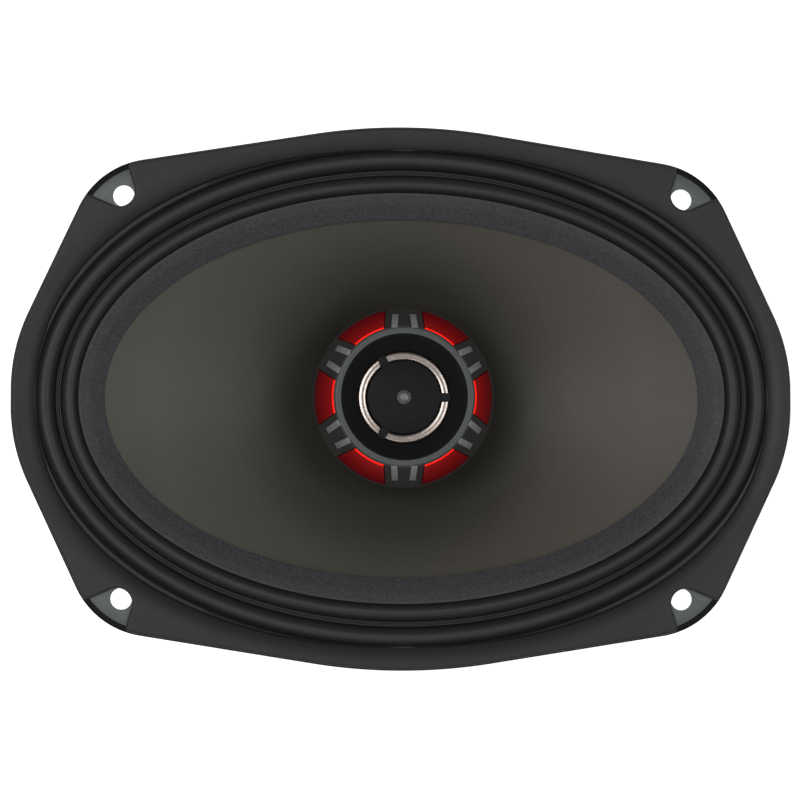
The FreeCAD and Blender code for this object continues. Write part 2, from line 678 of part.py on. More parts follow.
def tweeter_diaphragm():
    """Metallised diaphragm: shallow dome, half-round roll and flat edge."""
    rise, edge = 1.1, 15.2
    low, high = DIAPHRAGM_Z, DIAPHRAGM_Z + DIAPHRAGM_WALL
    inner, outer = ROLL_CENTRE - ROLL_RADIUS, ROLL_CENTRE + ROLL_RADIUS

    def roll_arc(first, last, z):
        crest = Vector(ROLL_CENTRE, 0, z + ROLL_RADIUS)
        return Part.Arc(Vector(first, 0, z), crest, Vector(last, 0, z)).toShape()

    def line(*ends):
        return Part.LineSegment(*[Vector(radius, 0, z) for radius, z in ends]).toShape()

    edges = [cap_arc(inner, low, rise), roll_arc(inner, outer, low), line((outer, low), (edge, low)),
             line((edge, low), (edge, high)), line((edge, high), (outer, high)),
             roll_arc(outer, inner, high), cap_arc(inner, high, rise),
             line((0, high + rise), (0, low + rise))]
    return Part.Face(Part.Wire(edges)).revolve(ORIGIN, UP, 360)


def tweeter_voice_coil():
    return ring(10.95, 10.6, 2.0, DIAPHRAGM_Z)


def tweeter_yoke():
    return disc(13.5, -3, 4.3).cut(disc(11.6, -1.2, 5))


def tweeter_magnet():
    return disc(9.6, -1.2, 2.2)


def tweeter_pole_plate():
    return disc(10.0, 2.2, 4.3)


def tweeter_mounting_ring():
    body = turned([(13.55, 2.5), (20, 2.5), (20, 7.2), (15.5, 7.2), (15.5, 4.6), (13.55, 4.6)])
    return body.cut(screw_shapes())


def pieces():
    """Every separate piece, by the name of its node."""
    wires = mirrored_pair(tweeter_wire())
    tinsel = mirrored_pair(tinsel_lead())
    return {
        "basket": basket(),
        "front_gasket": front_gasket(),
        "cone": cone(),
        "surround": surround(),
        "spider": spider(),
        "voice_coil_former": voice_coil_former(),
        "voice_coil_winding": voice_coil_winding(),
        "dust_ring": dust_ring(),
        "lead_eyelets": lead_eyelets(),
        "tinsel_lead_positive": tinsel[1],
        "tinsel_lead_negative": tinsel[0],
        "top_plate": top_plate(),
        "motor_rivets": motor_rivets(),
        "magnet": magnet(),
        "t_yoke": t_yoke(),
        "magnet_boot": magnet_boot(),
        "tweeter_post": tweeter_post(),
        "post_washer": post_washer(),
        "post_nut": post_nut(),
        "terminal_board": terminal_board(),
        "terminal_positive": terminal(-TERMINAL_X, 6.3),
        "terminal_negative": terminal(TERMINAL_X, 4.8),
        "terminal_rivets": terminal_rivets(),
        "board_rivets": board_rivets(),
        "crossover_capacitor": crossover_capacitor(),
        "capacitor_leads": capacitor_leads(),
        "tweeter_wire_positive": wires[1],
        "tweeter_wire_negative": wires[0],
        "tweeter_housing": tweeter_housing(),
        "tweeter_bezel": tweeter_bezel(),
        "red_accents": red_accents(),
        "tweeter_trim_ring": tweeter_trim_ring(),
        "tweeter_waveguide": tweeter_waveguide(),
        "phase_plug_pin": phase_plug_pin(),
        "tweeter_screws": tweeter_screws(),
        "tweeter_mounting_ring": tweeter_mounting_ring(),
        "tweeter_yoke": tweeter_yoke(),
        "tweeter_magnet": tweeter_magnet(),
        "tweeter_pole_plate": tweeter_pole_plate(),
        "tweeter_diaphragm": tweeter_diaphragm(),
        "tweeter_voice_coil": tweeter_voice_coil(),
    }


os.makedirs("parts", exist_ok=True)
for node, shape in pieces().items():
    if not shape.isValid() or not shape.Solids:
        raise ValueError("the solid of " + node + " is not sound")
    shape.exportStep("parts/" + node + ".step")
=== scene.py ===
"""Looks of the 6x9 coaxial car speaker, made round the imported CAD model.

Shapes are worked out in millimetres and turned into metres when their mesh is made.
The speaker lies on its back: +Z is the way it fires, X its long axis and Y its short axis.
"""

from math import asin, atan2, ceil, copysign, cos, hypot, pi, radians, sin, sqrt

import bmesh
import bpy
import numpy as np
from mathutils import Matrix, Vector


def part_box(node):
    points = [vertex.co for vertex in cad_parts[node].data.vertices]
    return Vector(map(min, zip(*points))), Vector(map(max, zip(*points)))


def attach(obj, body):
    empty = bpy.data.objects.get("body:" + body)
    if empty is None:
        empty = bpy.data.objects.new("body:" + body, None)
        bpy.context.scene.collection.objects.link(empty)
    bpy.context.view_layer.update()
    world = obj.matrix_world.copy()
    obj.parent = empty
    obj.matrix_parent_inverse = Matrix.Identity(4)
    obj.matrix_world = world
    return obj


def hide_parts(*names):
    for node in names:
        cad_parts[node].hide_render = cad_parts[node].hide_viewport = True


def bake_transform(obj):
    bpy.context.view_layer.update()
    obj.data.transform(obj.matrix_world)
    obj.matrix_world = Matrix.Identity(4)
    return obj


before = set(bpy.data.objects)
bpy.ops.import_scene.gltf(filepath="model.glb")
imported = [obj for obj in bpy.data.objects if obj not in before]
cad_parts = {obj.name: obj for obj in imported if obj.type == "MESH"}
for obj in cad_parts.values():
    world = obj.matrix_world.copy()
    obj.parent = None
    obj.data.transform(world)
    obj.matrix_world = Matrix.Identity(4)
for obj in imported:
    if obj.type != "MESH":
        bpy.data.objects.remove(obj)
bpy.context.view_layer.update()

MM = 0.001


def extent(node):
    """Lowest and highest corner of a CAD node, in millimetres."""
    low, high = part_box(node)
    return low / MM, high / MM


# ---- driving dimensions, in millimetres ----

HALF_WIDTH, HALF_HEIGHT, FLANGE_TOP = extent("basket")[1]
GASKET_TOP = extent("front_gasket")[1].z
LAND_EDGE = extent("surround")[1].x
CONE_RIM = extent("cone")[1].x
LEDGE_Z = extent("terminal_board")[0].z
TOP_PLATE_Z = extent("top_plate")[1].z
SOLE_Z = extent("magnet_boot")[0].z
BOOT_RADIUS = extent("magnet_boot")[1].x
MAGNET_RADIUS = extent("magnet")[1].x
MAGNET_TOP = extent("magnet")[1].z
YOKE_TOP = extent("magnet")[0].z
YOKE_BOTTOM = extent("t_yoke")[0].z
RIM_RADIUS = extent("tweeter_housing")[1].x
RIM_BASE = extent("tweeter_housing")[1].z
TRIM_TOP = extent("tweeter_trim_ring")[1].z
BEZEL_TOP = extent("tweeter_bezel")[1].z
DIAPHRAGM_Z = extent("tweeter_diaphragm")[0].z
SPIDER_RADIUS = extent("spider")[1].x

# Outline of the front, as in the CAD model: three arcs in each quarter, with straight edges between them.
END_FLAT = 2.4
END_RADIUS = 54.5
CORNER_RADIUS = 25.5
CROWN_RADIUS = 170.0
SIDE_ANGLE = 25.0           # directions that the two straight edges face, in degrees
SHOULDER_ANGLE = 80.9
HOLE_X = 84.25
HOLE_Y = 60.5
HOLE_RADIUS = 3.25
NOTCH_RADIUS = 4.6          # round end of the gasket's notch at each bolt hole
NOTCH_SHIFT = 1.75          # from the hole's centre outwards to the round end's
NOTCH_AXIS = 46.7           # direction that the notch opens in, and how far its edges flare, in degrees
NOTCH_FLARE = 20.6

# Front rings: ovals with semi-axes a and a - OVAL_DIFFERENCE.
OVAL_DIFFERENCE = HALF_WIDTH - HALF_HEIGHT - 0.2
GASKET_OPENING = 110.6
BEAD_INNER = 110.0      # a bead of rubber fills the corners between the gasket and the first roll
FULLNESS = 2.14         # exponent of the fuller ovals under and round the gasket (2 is an ellipse)
RUBBER = 0.6            # thickness of the surround
CONE_THICKNESS = 0.8
NECK_RADIUS = 14.85
NECK_Z = -32.0
RIM_Z = 0.5
FLARE_POWER = 0.8
SURROUND_LIP = 89.7

SAME_PLACE = 1e-7       # points nearer to each other than this, in metres, are one
OVAL_STEPS = 360
ROUND_STEPS = 144


# ---- curves and profiles ----

def rounded(corners, reach, closed=True, steps=4):
    """Corners joined by straight runs, where each corner is a curve that starts reach before it.

    A corner on the axis, and the two ends of an open profile, stay sharp.
    """
    corners = [Vector(corner) for corner in corners]
    result = []
    for index, corner in enumerate(corners):
        at_end = not closed and index in (0, len(corners) - 1)
        if at_end or corner[0] == 0:
            result.append(corner)
            continue
        before = corners[index - 1] - corner
        after = corners[(index + 1) % len(corners)] - corner
        first = corner + before.normalized() * min(reach, 0.45 * before.length)
        last = corner + after.normalized() * min(reach, 0.45 * after.length)
        for step in range(steps + 1):
            part = step / steps
            result.append(first * (1 - part) ** 2 + corner * 2 * part * (1 - part) + last * part ** 2)
    return result


def divided(points, spacing):
    """Polyline with more points, so that none of its runs is longer than spacing."""
    result = [points[0]]
    for start, end in zip(points, points[1:]):
        count = max(1, ceil((end - start).length / spacing))
        result += [start.lerp(end, step / count) for step in range(1, count + 1)]
    return result


def polar(radius, degrees):
    return Vector((radius * cos(radians(degrees)), radius * sin(radians(degrees))))


def rectangle(left, right, low, high):
    return [(left, low), (right, low), (right, high), (left, high)]


def oval(a):
    return a, a - OVAL_DIFFERENCE


def full_oval_point(a, angle):
    """Point of an oval that is fuller at its diagonals than an ellipse."""
    a, b = oval(a)
    x = a * copysign(abs(cos(angle)) ** (2 / FULLNESS), cos(angle))
    y = b * copysign(abs(sin(angle)) ** (2 / FULLNESS), sin(angle))
    return Vector((x, y))


def full_oval_radius(a, x, y):
    """Distance of the same oval from the centre, in the direction of (x, y)."""
    a, b = oval(a)
    length = hypot(x, y)
    spread = (abs(x) / length / a) ** FULLNESS + (abs(y) / length / b) ** FULLNESS
    return spread ** (-1 / FULLNESS)


def quarter_outline(inset):
    """Points of the outline's first quarter, moved inwards by inset."""
    arc_spacing, run_spacing = 0.8, 1.0
    end = Vector((HALF_WIDTH - END_RADIUS, END_FLAT))
    crown = Vector((0.0, HALF_HEIGHT - CROWN_RADIUS))
    side, shoulder = polar(1, SIDE_ANGLE), polar(1, SHOULDER_ANGLE)
    # The corner arc's centre lies one corner radius inside both straight edges.
    side_reach = end.dot(side) + END_RADIUS - CORNER_RADIUS
    shoulder_reach = crown.dot(shoulder) + CROWN_RADIUS - CORNER_RADIUS
    spread = side.cross(shoulder)
    corner = Vector((side_reach * shoulder.y - shoulder_reach * side.y,
                     shoulder_reach * side.x - side_reach * shoulder.x)) / spread
    arcs = [(end, END_RADIUS, 0.0, SIDE_ANGLE), (corner, CORNER_RADIUS, SIDE_ANGLE, SHOULDER_ANGLE),
            (crown, CROWN_RADIUS, SHOULDER_ANGLE, 90.0)]
    points = [Vector((HALF_WIDTH - inset, 0.0))]
    for centre, radius, first, last in arcs:
        count = ceil(radians(last - first) * radius / arc_spacing)
        points += [centre + polar(radius - inset, first + (last - first) * step / count)
                   for step in range(count + 1)]
    return divided(points, run_spacing)


def four_quarters(quarter):
    """A closed loop from its first quarter, which starts on X and ends on Y."""
    half = quarter + [Vector((-p.x, p.y)) for p in reversed(quarter[:-1])]
    return half + [Vector((-p.x, -p.y)) for p in half[1:-1]]


def outline_ring(inset, z):
    """Ring of the outline for swept(): a function from angle to point."""
    loop = four_quarters(quarter_outline(inset))
    angles = [atan2(p.y, p.x) for p in loop]
    order = np.argsort(angles)
    angles = np.array(angles)[order]
    reach = np.array([p.length for p in loop])[order]
    a, b = oval(LAND_EDGE)

    def point(angle):
        direction = atan2(b * sin(angle), a * cos(angle))
        radius = float(np.interp(direction, angles, reach, period=2 * pi))
        return Vector((radius * cos(direction), radius * sin(direction), z))
    return point


def oval_ring(a, b, z):
    return lambda angle: Vector((a * cos(angle), b * sin(angle), z))


# ---- meshes ----

def new_object(name, data):
    """Object with this data, in the scene."""
    obj = bpy.data.objects.new(name, data)
    bpy.context.scene.collection.objects.link(obj)
    return obj


def mesh_object(name, points, faces, sharp=35):
    """Object from points in millimetres. Faces that meet at more than sharp degrees keep their edge."""
    mesh = bpy.data.meshes.new(name)
    mesh.from_pydata([Vector(point) * MM for point in points], [], faces)
    work = bmesh.new()
    work.from_mesh(mesh)
    bmesh.ops.remove_doubles(work, verts=work.verts, dist=SAME_PLACE)
    bmesh.ops.recalc_face_normals(work, faces=work.faces)
    work.to_mesh(mesh)
    work.free()
    shade(mesh, sharp)
    return new_object(name, mesh)


def shade(mesh, sharp=35):
    mesh.shade_smooth()
    mesh.set_sharp_from_angle(angle=radians(sharp))


def loop_faces(count, rows, close_rows=True):
    """Quads between rows of count points, each row a closed loop."""
    faces = []
    for row in range(rows if close_rows else rows - 1):
        here, after = row * count, (row + 1) % rows * count
        for index in range(count):
            following = (index + 1) % count
            faces.append((here + index, here + following, after + following, after + index))
    return faces


def swept(name, rings, steps=OVAL_STEPS):
    """Closed ring-shaped solid: its section goes through the rings in order."""
    points = [ring(2 * pi * step / steps) for step in range(steps) for ring in rings]
    return mesh_object(name, points, loop_faces(len(rings), steps))


def turned(name, profile, steps=ROUND_STEPS, sharp=35):
    """Solid turned about Z from a closed profile of (radius, z) points."""
    points = []
    for step in range(steps):
        turn = polar(1, 360 * step / steps)
        points += [(radius * turn.x, radius * turn.y, z) for radius, z in profile]
    return mesh_object(name, points, loop_faces(len(profile), steps), sharp)


def extruded(name, outline, along):
    """Prism from a closed outline of 3-D points and the vector that it is extruded along."""
    count = len(outline)
    points = [Vector(point) for point in outline]
    points += [point + Vector(along) for point in points]
    sides = [(i, (i + 1) % count, count + (i + 1) % count, count + i) for i in range(count)]
    ends = [tuple(range(count)), tuple(range(count, 2 * count))]
    return mesh_object(name, points, sides + ends)


def turned_copies(obj, angles):
    """Copies of an object at these angles about Z, in degrees. The object itself is removed."""
    copies = []
    for angle in angles:
        mesh = obj.data.copy()
        mesh.transform(Matrix.Rotation(radians(angle), 4, "Z"))
        copies.append(new_object(obj.name, mesh))
    bpy.data.objects.remove(obj)
    return copies


def baked(obj, sharp=35):
    """Applies the object's modifiers to its mesh."""
    graph = bpy.context.evaluated_depsgraph_get()
    mesh = bpy.data.meshes.new_from_object(obj.evaluated_get(graph))
    obj.modifiers.clear()
    obj.data = mesh
    shade(mesh, sharp)
    return obj


def boolean(body, others, operation):
    """Cuts others from body or joins them to it, and removes them."""
    for other in others:
        modifier = body.modifiers.new(operation, "BOOLEAN")
        modifier.operation = operation
        modifier.solver = "EXACT"
        modifier.object = other
    baked(body)
    for other in others:
        bpy.data.objects.remove(other)
    return body


def bevelled(obj, width, segments=3):
    modifier = obj.modifiers.new("bevel", "BEVEL")
    modifier.width = width * MM
    modifier.segments = segments
    modifier.limit_method = "ANGLE"
    modifier.angle_limit = radians(40)
    return baked(obj)


def joined(name, objects):
    """One object that holds the meshes of several, each still whole."""
    work = bmesh.new()
    for obj in objects:
        work.from_mesh(obj.data)
    mesh = bpy.data.meshes.new(name)
    work.to_mesh(mesh)
    work.free()
    for obj in objects:
        bpy.data.objects.remove(obj)
    shade(mesh)
    return new_object(name, mesh)


def fitted(obj, body, slot, material, *nodes):
    """Gives a piece its material, and lets it stand for CAD nodes on their body. slot is not used."""
    obj.data.materials.append(material)
    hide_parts(*nodes)
    if body:
        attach(obj, body)


def painted(obj, material, chosen):
    """Gives another material to the faces for which chosen(face) is true."""
    obj.data.materials.append(material)
    for face in obj.data.polygons:
        if chosen(face):
            face.material_index = 1


# ---- camera, floor and light ----

VIEW_DISTANCE = 790.0
VIEW_TILT = (2.3, 2.0)      # degrees by which the camera stands off the axis, towards -X and -Y
VIEW_ROLL = 0.17
VIEW_WIDTH = 2.048 * HALF_WIDTH
VIEW_AIM = (-0.9, -0.6, FLANGE_TOP)


def make_camera():
    camera = new_object("camera", bpy.data.cameras.new("camera"))
    aim = Vector(VIEW_AIM) * MM
    towards = Vector((-sin(radians(VIEW_TILT[0])), -sin(radians(VIEW_TILT[1])), 1.0))
    towards.z = sqrt(1 - towards.x ** 2 - towards.y ** 2)
    camera.location = aim + towards * VIEW_DISTANCE * MM
    right = Vector((0, 1, 0)).cross(towards).normalized()
    level = Matrix((right, towards.cross(right), towards)).transposed()
    camera.rotation_euler = (level @ Matrix.Rotation(radians(VIEW_ROLL), 3, "Z")).to_euler()
    camera.data.sensor_width = 36.0
    camera.data.lens = camera.data.sensor_width * VIEW_DISTANCE / VIEW_WIDTH
    camera.data.clip_start = 0.01
    bpy.context.scene.camera = camera


def soft_light(name, place, size, power):
    """Square softbox that faces the speaker."""
    light = new_object(name, bpy.data.lights.new(name, "AREA"))
    light.data.shape = "SQUARE"
    light.data.size = size
    light.data.energy = power
    light.location = place
    light.rotation_euler = Vector(place).to_track_quat("Z", "Y").to_euler()


def make_studio():
    scene = bpy.context.scene
    scene.view_settings.view_transform = "Standard"
    world = bpy.data.worlds.new("studio")
    world.use_nodes = True
    background = world.node_tree.nodes["Background"]
    background.inputs["Color"].default_value = (1.0, 1.0, 1.0, 1.0)
    background.inputs["Strength"].default_value = 0.35
    scene.world = world
    soft_light("key", (-0.65, 0.15, 1.8), 0.8, 21)
    soft_light("fill", (0.75, 0.0, 1.75), 0.8, 14)
    soft_light("low", (-0.1, -0.9, 1.6), 0.7, 6)
    reach = 4000.0
    corners = [(x, y, SOLE_Z) for x, y in rectangle(-reach, reach, -reach, reach)]
    floor = mesh_object("floor", corners, [(0, 1, 2, 3)])
    paper = material("floor_paper", grey(0.86), grey(0.9), 30, (0.8, 0.9), 0.02,
                     Emission_Color=(1, 1, 1, 1), Emission_Strength=0.4)
    floor.data.materials.append(paper)


# ---- materials ----

NOISE_LOW, NOISE_HIGH = 0.35, 0.65      # most of a noise texture's values lie between these
PATCH_GRAINS = 22.0                     # gloss varies over patches of this many grains


def node(tree, kind, **inputs):
    """Adds a shader node and sets or links its inputs. A name's underscores stand for spaces."""
    made = tree.nodes.new("ShaderNode" + kind)
    for key, value in inputs.items():
        socket = made.inputs[key.replace("_", " ")]
        if isinstance(value, bpy.types.NodeSocket):
            tree.links.new(value, socket)
        else:
            socket.default_value = value
    return made


def ramp(tree, factor, stops):
    """Colour ramp from (position, colour) stops."""
    made = node(tree, "ValToRGB", Fac=factor)
    elements = made.color_ramp.elements
    elements[0].position, elements[1].position = stops[0][0], stops[-1][0]
    elements[0].color, elements[1].color = (*stops[0][1], 1), (*stops[-1][1], 1)
    for position, colour in stops[1:-1]:
        elements.new(position).color = (*colour, 1)
    return made.outputs["Color"]


def mixed(tree, mode, share, first, second):
    """Mixes two colours: share says how much of the second one's effect is taken."""
    mix = node(tree, "Mix")
    mix.data_type = "RGBA"
    mix.blend_type = mode
    mix.inputs["Factor"].default_value = share
    first_input, second_input = [socket for socket in mix.inputs if socket.type == "RGBA"]
    tree.links.new(first, first_input)
    tree.links.new(second, second_input)
    return next(socket for socket in mix.outputs if socket.type == "RGBA")


def place_on_object(tree):
    return node(tree, "TexCoord").outputs["Object"]


def noise(tree, where, size, detail=3.0):
    """Noise with grains of that size in millimetres."""
    made = node(tree, "TexNoise", Vector=where, Scale=1 / (size * MM), Detail=detail, Roughness=0.6)
    return made.outputs["Fac"]


def waves(tree, direction, scale):
    made = node(tree, "TexWave", Vector=place_on_object(tree), Scale=scale)
    made.bands_direction = direction
    return made.outputs["Fac"]


def material(name, dark, light, grain, rough, relief, metallic=0.0, specular=0.5, stretch=(1, 1, 1),
             contrast=0.16, **shader_inputs):
    """Two-tone grain with uneven roughness and a fine relief.

    grain is the size of the grain and relief its depth, in millimetres; rough is (lowest, highest).
    """
    made = bpy.data.materials.new(name)
    made.use_nodes = True
    tree = made.node_tree
    shader = tree.nodes["Principled BSDF"]
    shader.inputs["Metallic"].default_value = metallic
    shader.inputs["Specular IOR Level"].default_value = specular
    for key, value in shader_inputs.items():
        shader.inputs[key.replace("_", " ")].default_value = value
    where = node(tree, "Mapping", Vector=place_on_object(tree), Scale=stretch).outputs["Vector"]
    fine = noise(tree, where, grain)
    broad = noise(tree, where, PATCH_GRAINS * grain, 2.0)
    tone = ramp(tree, fine, [(0.5 - contrast, dark), (0.5 + contrast, light)])
    tree.links.new(tone, shader.inputs["Base Color"])
    gloss = node(tree, "MapRange", Value=broad, From_Min=NOISE_LOW, From_Max=NOISE_HIGH,
                 To_Min=rough[0], To_Max=rough[1])
    tree.links.new(gloss.outputs["Result"], shader.inputs["Roughness"])
    bump = node(tree, "Bump", Height=fine, Strength=0.6, Distance=relief * MM)
    tree.links.new(bump.outputs["Normal"], shader.inputs["Normal"])
    return made


def relayered(made, relief_source, depth):
    """Puts another relief, of that depth in millimetres, over a material's own."""
    tree = made.node_tree
    shader = tree.nodes["Principled BSDF"]
    below = shader.inputs["Normal"].links[0].from_socket
    bump = node(tree, "Bump", Height=relief_source, Strength=1.0, Distance=depth * MM, Normal=below)
    tree.links.new(bump.outputs["Normal"], shader.inputs["Normal"])
    return made


def grey(value, warmth=0.0):
    """A grey, a little redder and less blue with warmth."""
    return (value * (1 + warmth), value, value * (1 - warmth))


def basket_paint():
    return material("basket_paint", (0.026, 0.033, 0.030), (0.038, 0.047, 0.043), 0.7, (0.4, 0.48), 0.012,
                    specular=0.35)


def gasket_rubber():
    return material("gasket_black", grey(0.0098), grey(0.0128, 0.01), 0.5, (0.42, 0.46), 0.01, specular=0.14)


def surround_rubber():
    return material("surround_rubber", (0.0036, 0.004, 0.0044), (0.0105, 0.0112, 0.0124), 0.28, (0.44, 0.48),
                    0.03, specular=0.19)


def lip_rubber():
    """The moulded lip: coarser pimples, dusted a bluish grey."""
    return material("lip_rubber", (0.0065, 0.0068, 0.0075), (0.0265, 0.0275, 0.030), 0.55, (0.56, 0.62), 0.08,
                    contrast=0.2, specular=0.25)


def cone_polypropylene():
    """Mica-filled plastic: cool grey at one end, warmer at the other, with painted shade that darkens it
    round its neck, under the tweeter, and at its rim.
    """
    made = material("cone_polypropylene", (0.038, 0.036, 0.033), (0.0475, 0.0455, 0.041), 0.5, (0.48, 0.51),
                    0.008, specular=0.22)
    tree = made.node_tree
    shader = tree.nodes["Principled BSDF"]
    grain = shader.inputs["Base Color"].links[0].from_socket
    across = node(tree, "SeparateXYZ", Vector=place_on_object(tree)).outputs["X"]
    along = node(tree, "MapRange", Value=across, From_Min=-90 * MM, From_Max=50 * MM)
    tint = ramp(tree, along.outputs["Result"], [(0.0, (0.94, 1.0, 0.88)), (1.0, (1.0, 0.93, 0.83))])
    # Painted shade: darker near the neck and round the tweeter, and a little at the rim by the surround,
    # where the real shade falls.
    painted_shade_stops = [(0.0, grey(0.42)), (0.23, grey(0.5)), (0.31, grey(0.56)), (0.48, grey(0.84)),
              (0.78, grey(0.98)), (1.0, grey(0.77))]
    depth = ramp(tree, axis_distance(tree, 20.0, 90.0), painted_shade_stops)
    tinted = mixed(tree, "MULTIPLY", 1.0, grain, tint)
    tree.links.new(mixed(tree, "MULTIPLY", 1.0, tinted, depth), shader.inputs["Base Color"])
    return made


def axis_distance(tree, near, far):
    """0 to 1 between two distances from the axis, in millimetres."""
    flat = node(tree, "VectorMath", Vector=place_on_object(tree))
    flat.operation = "MULTIPLY"
    flat.inputs[1].default_value = (1, 1, 0)
    reach = node(tree, "VectorMath", Vector=flat.outputs["Vector"])
    reach.operation = "LENGTH"
    part = node(tree, "MapRange", Value=reach.outputs["Value"], From_Min=near * MM, From_Max=far * MM)
    return part.outputs["Result"]


def spider_cloth():
    """Resin-dipped cotton: a plain weave."""
    made = material("spider_cloth", (0.20, 0.13, 0.045), (0.42, 0.29, 0.12), 0.5, (0.75, 0.9), 0.05)
    tree = made.node_tree
    warp = waves(tree, "X", 900.0)
    weft = waves(tree, "Y", 900.0)
    weave = node(tree, "Math")
    weave.operation = "MAXIMUM"
    tree.links.new(warp, weave.inputs[0])
    tree.links.new(weft, weave.inputs[1])
    return relayered(made, weave.outputs["Value"], 0.12)


def tinsel_braid():
    """Braided copper tinsel: slanting strands that cross."""
    made = material("tinsel_braid", (0.30, 0.13, 0.06), (0.62, 0.33, 0.18), 0.2, (0.3, 0.45), 0.02,
                    metallic=0.9)
    return relayered(made, waves(made.node_tree, "DIAGONAL", 1400.0), 0.12)


def accent_red():
    """Clear red plastic over foil, with a painted glow and painted highlight at its inner edge and painted
    shade towards its outer edge.
    """
    made = material("accent_red", (0.30, 0.0, 0.003), (0.36, 0.0, 0.004), 0.8, (0.22, 0.26), 0.006,
                    specular=0.2)
    tree = made.node_tree
    shader = tree.nodes["Principled BSDF"]
    grain = shader.inputs["Base Color"].links[0].from_socket
    part = axis_distance(tree, 20.9, 26.9)
    # Painted light: bright red at the inner edge fading to painted shade outwards.
    reds_with_painted_light = [(0.0, (0.8, 0.004, 0.0)), (0.09, (0.8, 0.004, 0.0)), (0.13, (0.16, 0.001, 0.001)),
            (0.5, (0.10, 0.0005, 0.001)), (1.0, (0.03, 0.0004, 0.0015))]
    painted_glow_stops = [(0.0, (1, 0.01, 0)), (0.09, (1, 0.01, 0)), (0.13, (0.03, 0, 0)), (1.0, (0.01, 0, 0))]
    red = mixed(tree, "MIX", 0.95, grain, ramp(tree, part, reds_with_painted_light))
    tree.links.new(red, shader.inputs["Base Color"])
    # Painted glow: emission, though the insert is no lamp.
    tree.links.new(ramp(tree, part, painted_glow_stops), shader.inputs["Emission Color"])
    shader.inputs["Emission Strength"].default_value = 0.7
    return made


def node_materials():
    """Materials of the CAD nodes that stay, each with its nodes."""
    return (
        (material("zinc_steel", (0.46, 0.45, 0.42), (0.66, 0.65, 0.61), 0.9, (0.24, 0.38), 0.01,
                  metallic=1.0),
         ("motor_rivets", "board_rivets", "post_washer", "post_nut", "tweeter_screws", "tweeter_magnet",
          "tweeter_pole_plate")),
        (material("black_zinc", (0.05, 0.05, 0.052), (0.10, 0.10, 0.105), 0.8, (0.3, 0.42), 0.012,
                  metallic=0.85), ("top_plate", "t_yoke", "tweeter_post", "tweeter_yoke")),
        (material("ferrite", grey(0.035, 0.03), grey(0.075, 0.03), 0.5, (0.55, 0.75), 0.05), ("magnet",)),
        (material("tinned_brass", (0.55, 0.53, 0.47), (0.76, 0.74, 0.68), 0.8, (0.2, 0.34), 0.008,
                  metallic=1.0),
         ("terminal_positive", "terminal_negative", "terminal_rivets", "capacitor_leads", "lead_eyelets")),
        (material("board_phenolic", (0.10, 0.045, 0.018), (0.20, 0.10, 0.045), 0.6, (0.45, 0.6), 0.03,
                  stretch=(0.25, 1, 1)), ("terminal_board",)),
        (material("capacitor_sleeve", (0.012, 0.03, 0.10), (0.02, 0.05, 0.15), 1.0, (0.2, 0.3), 0.01),
         ("crossover_capacitor",)),
        (material("wire_red", (0.35, 0.01, 0.01), (0.5, 0.02, 0.02), 0.6, (0.35, 0.45), 0.01),
         ("tweeter_wire_positive",)),
        (material("wire_black", grey(0.01), grey(0.02), 0.6, (0.35, 0.45), 0.01), ("tweeter_wire_negative",)),
        (material("copper_wire", (0.5, 0.19, 0.07), (0.72, 0.33, 0.15), 0.25, (0.25, 0.35), 0.03,
                  metallic=1.0, stretch=(0.05, 0.05, 1)), ("voice_coil_winding", "tweeter_voice_coil")),
        (material("former_film", (0.30, 0.13, 0.03), (0.42, 0.2, 0.06), 1.5, (0.2, 0.3), 0.004),
         ("voice_coil_former",)),
        (material("felt_black", grey(0.006), grey(0.02), 0.25, (0.9, 1.0), 0.12), ("dust_ring",)),
        (material("moulded_black", grey(0.012), grey(0.02), 0.5, (0.4, 0.5), 0.02),
         ("tweeter_mounting_ring",)),
    )


# ---- leads to the cone ----

LEAD_DIAMETER = 1.2
# From the lug to under the eyelet, and up to it.
LEAD_ROUTE = [(9, -57.5, -33.0), (9, -51.5, -33.0), (8.6, -42.5, -31.0), (8, -32, -31.6),
              (7, -22.5, -32.2), (7, -22.5, -28.2)]


def spline_points(route):
    """Points along the smooth line of a route, in metres."""
    curve = bpy.data.curves.new("route", "CURVE")
    curve.dimensions = "3D"
    spline = curve.splines.new("NURBS")
    spline.points.add(len(route) - 1)
    for point, place in zip(spline.points, route):
        point.co = (*(place * MM), 1.0)
    spline.order_u = 3
    spline.use_endpoint_u = True
    spline.resolution_u = 12
    guide = new_object("route", curve)
    bpy.context.view_layer.update()
    mesh = bpy.data.meshes.new_from_object(guide)
    points = [vertex.co.copy() for vertex in mesh.vertices]
    bpy.data.objects.remove(guide)
    return points


def braided_tube(name, path, radius):
    """Tube along points in metres, with the slanting ridges of a braid. radius is in millimetres."""
    sides, strands, pitch, ridge_share = 24, 6, 2.4, 0.05
    points = []
    travelled = 0.0
    normal = Vector((1, 0, 0))
    for index, place in enumerate(path):
        before, after = path[max(index - 1, 0)], path[min(index + 1, len(path) - 1)]
        along = (after - before).normalized()
        travelled += (place - before).length / MM
        normal = (normal - along * normal.dot(along)).normalized()
        side = along.cross(normal)
        for step in range(sides):
            turn = 2 * pi * step / sides
            twist = strands * turn / 2 + 2 * pi * travelled / pitch
            ridge = radius * (1 - ridge_share + ridge_share * cos(twist))
            points.append(place / MM + (normal * cos(turn) + side * sin(turn)) * ridge)
    faces = loop_faces(sides, len(path), close_rows=False)
    faces.append(tuple(range(sides)))
    faces.append(tuple(range(len(points) - sides, len(points))))
    return mesh_object(name, points, faces, 80)


def make_leads():
    braid = tinsel_braid()
    for side, polarity in ((1, "negative"), (-1, "positive")):
        route = [Vector((side * x, y, z)) for x, y, z in LEAD_ROUTE]
        path = spline_points(route)
        lead = braided_tube("lead_" + polarity, path, LEAD_DIAMETER / 2)
        fitted(lead, None, "tinsel_braid", braid, "tinsel_lead_" + polarity)
        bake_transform(lead)


# ---- gasket, basket and boot ----

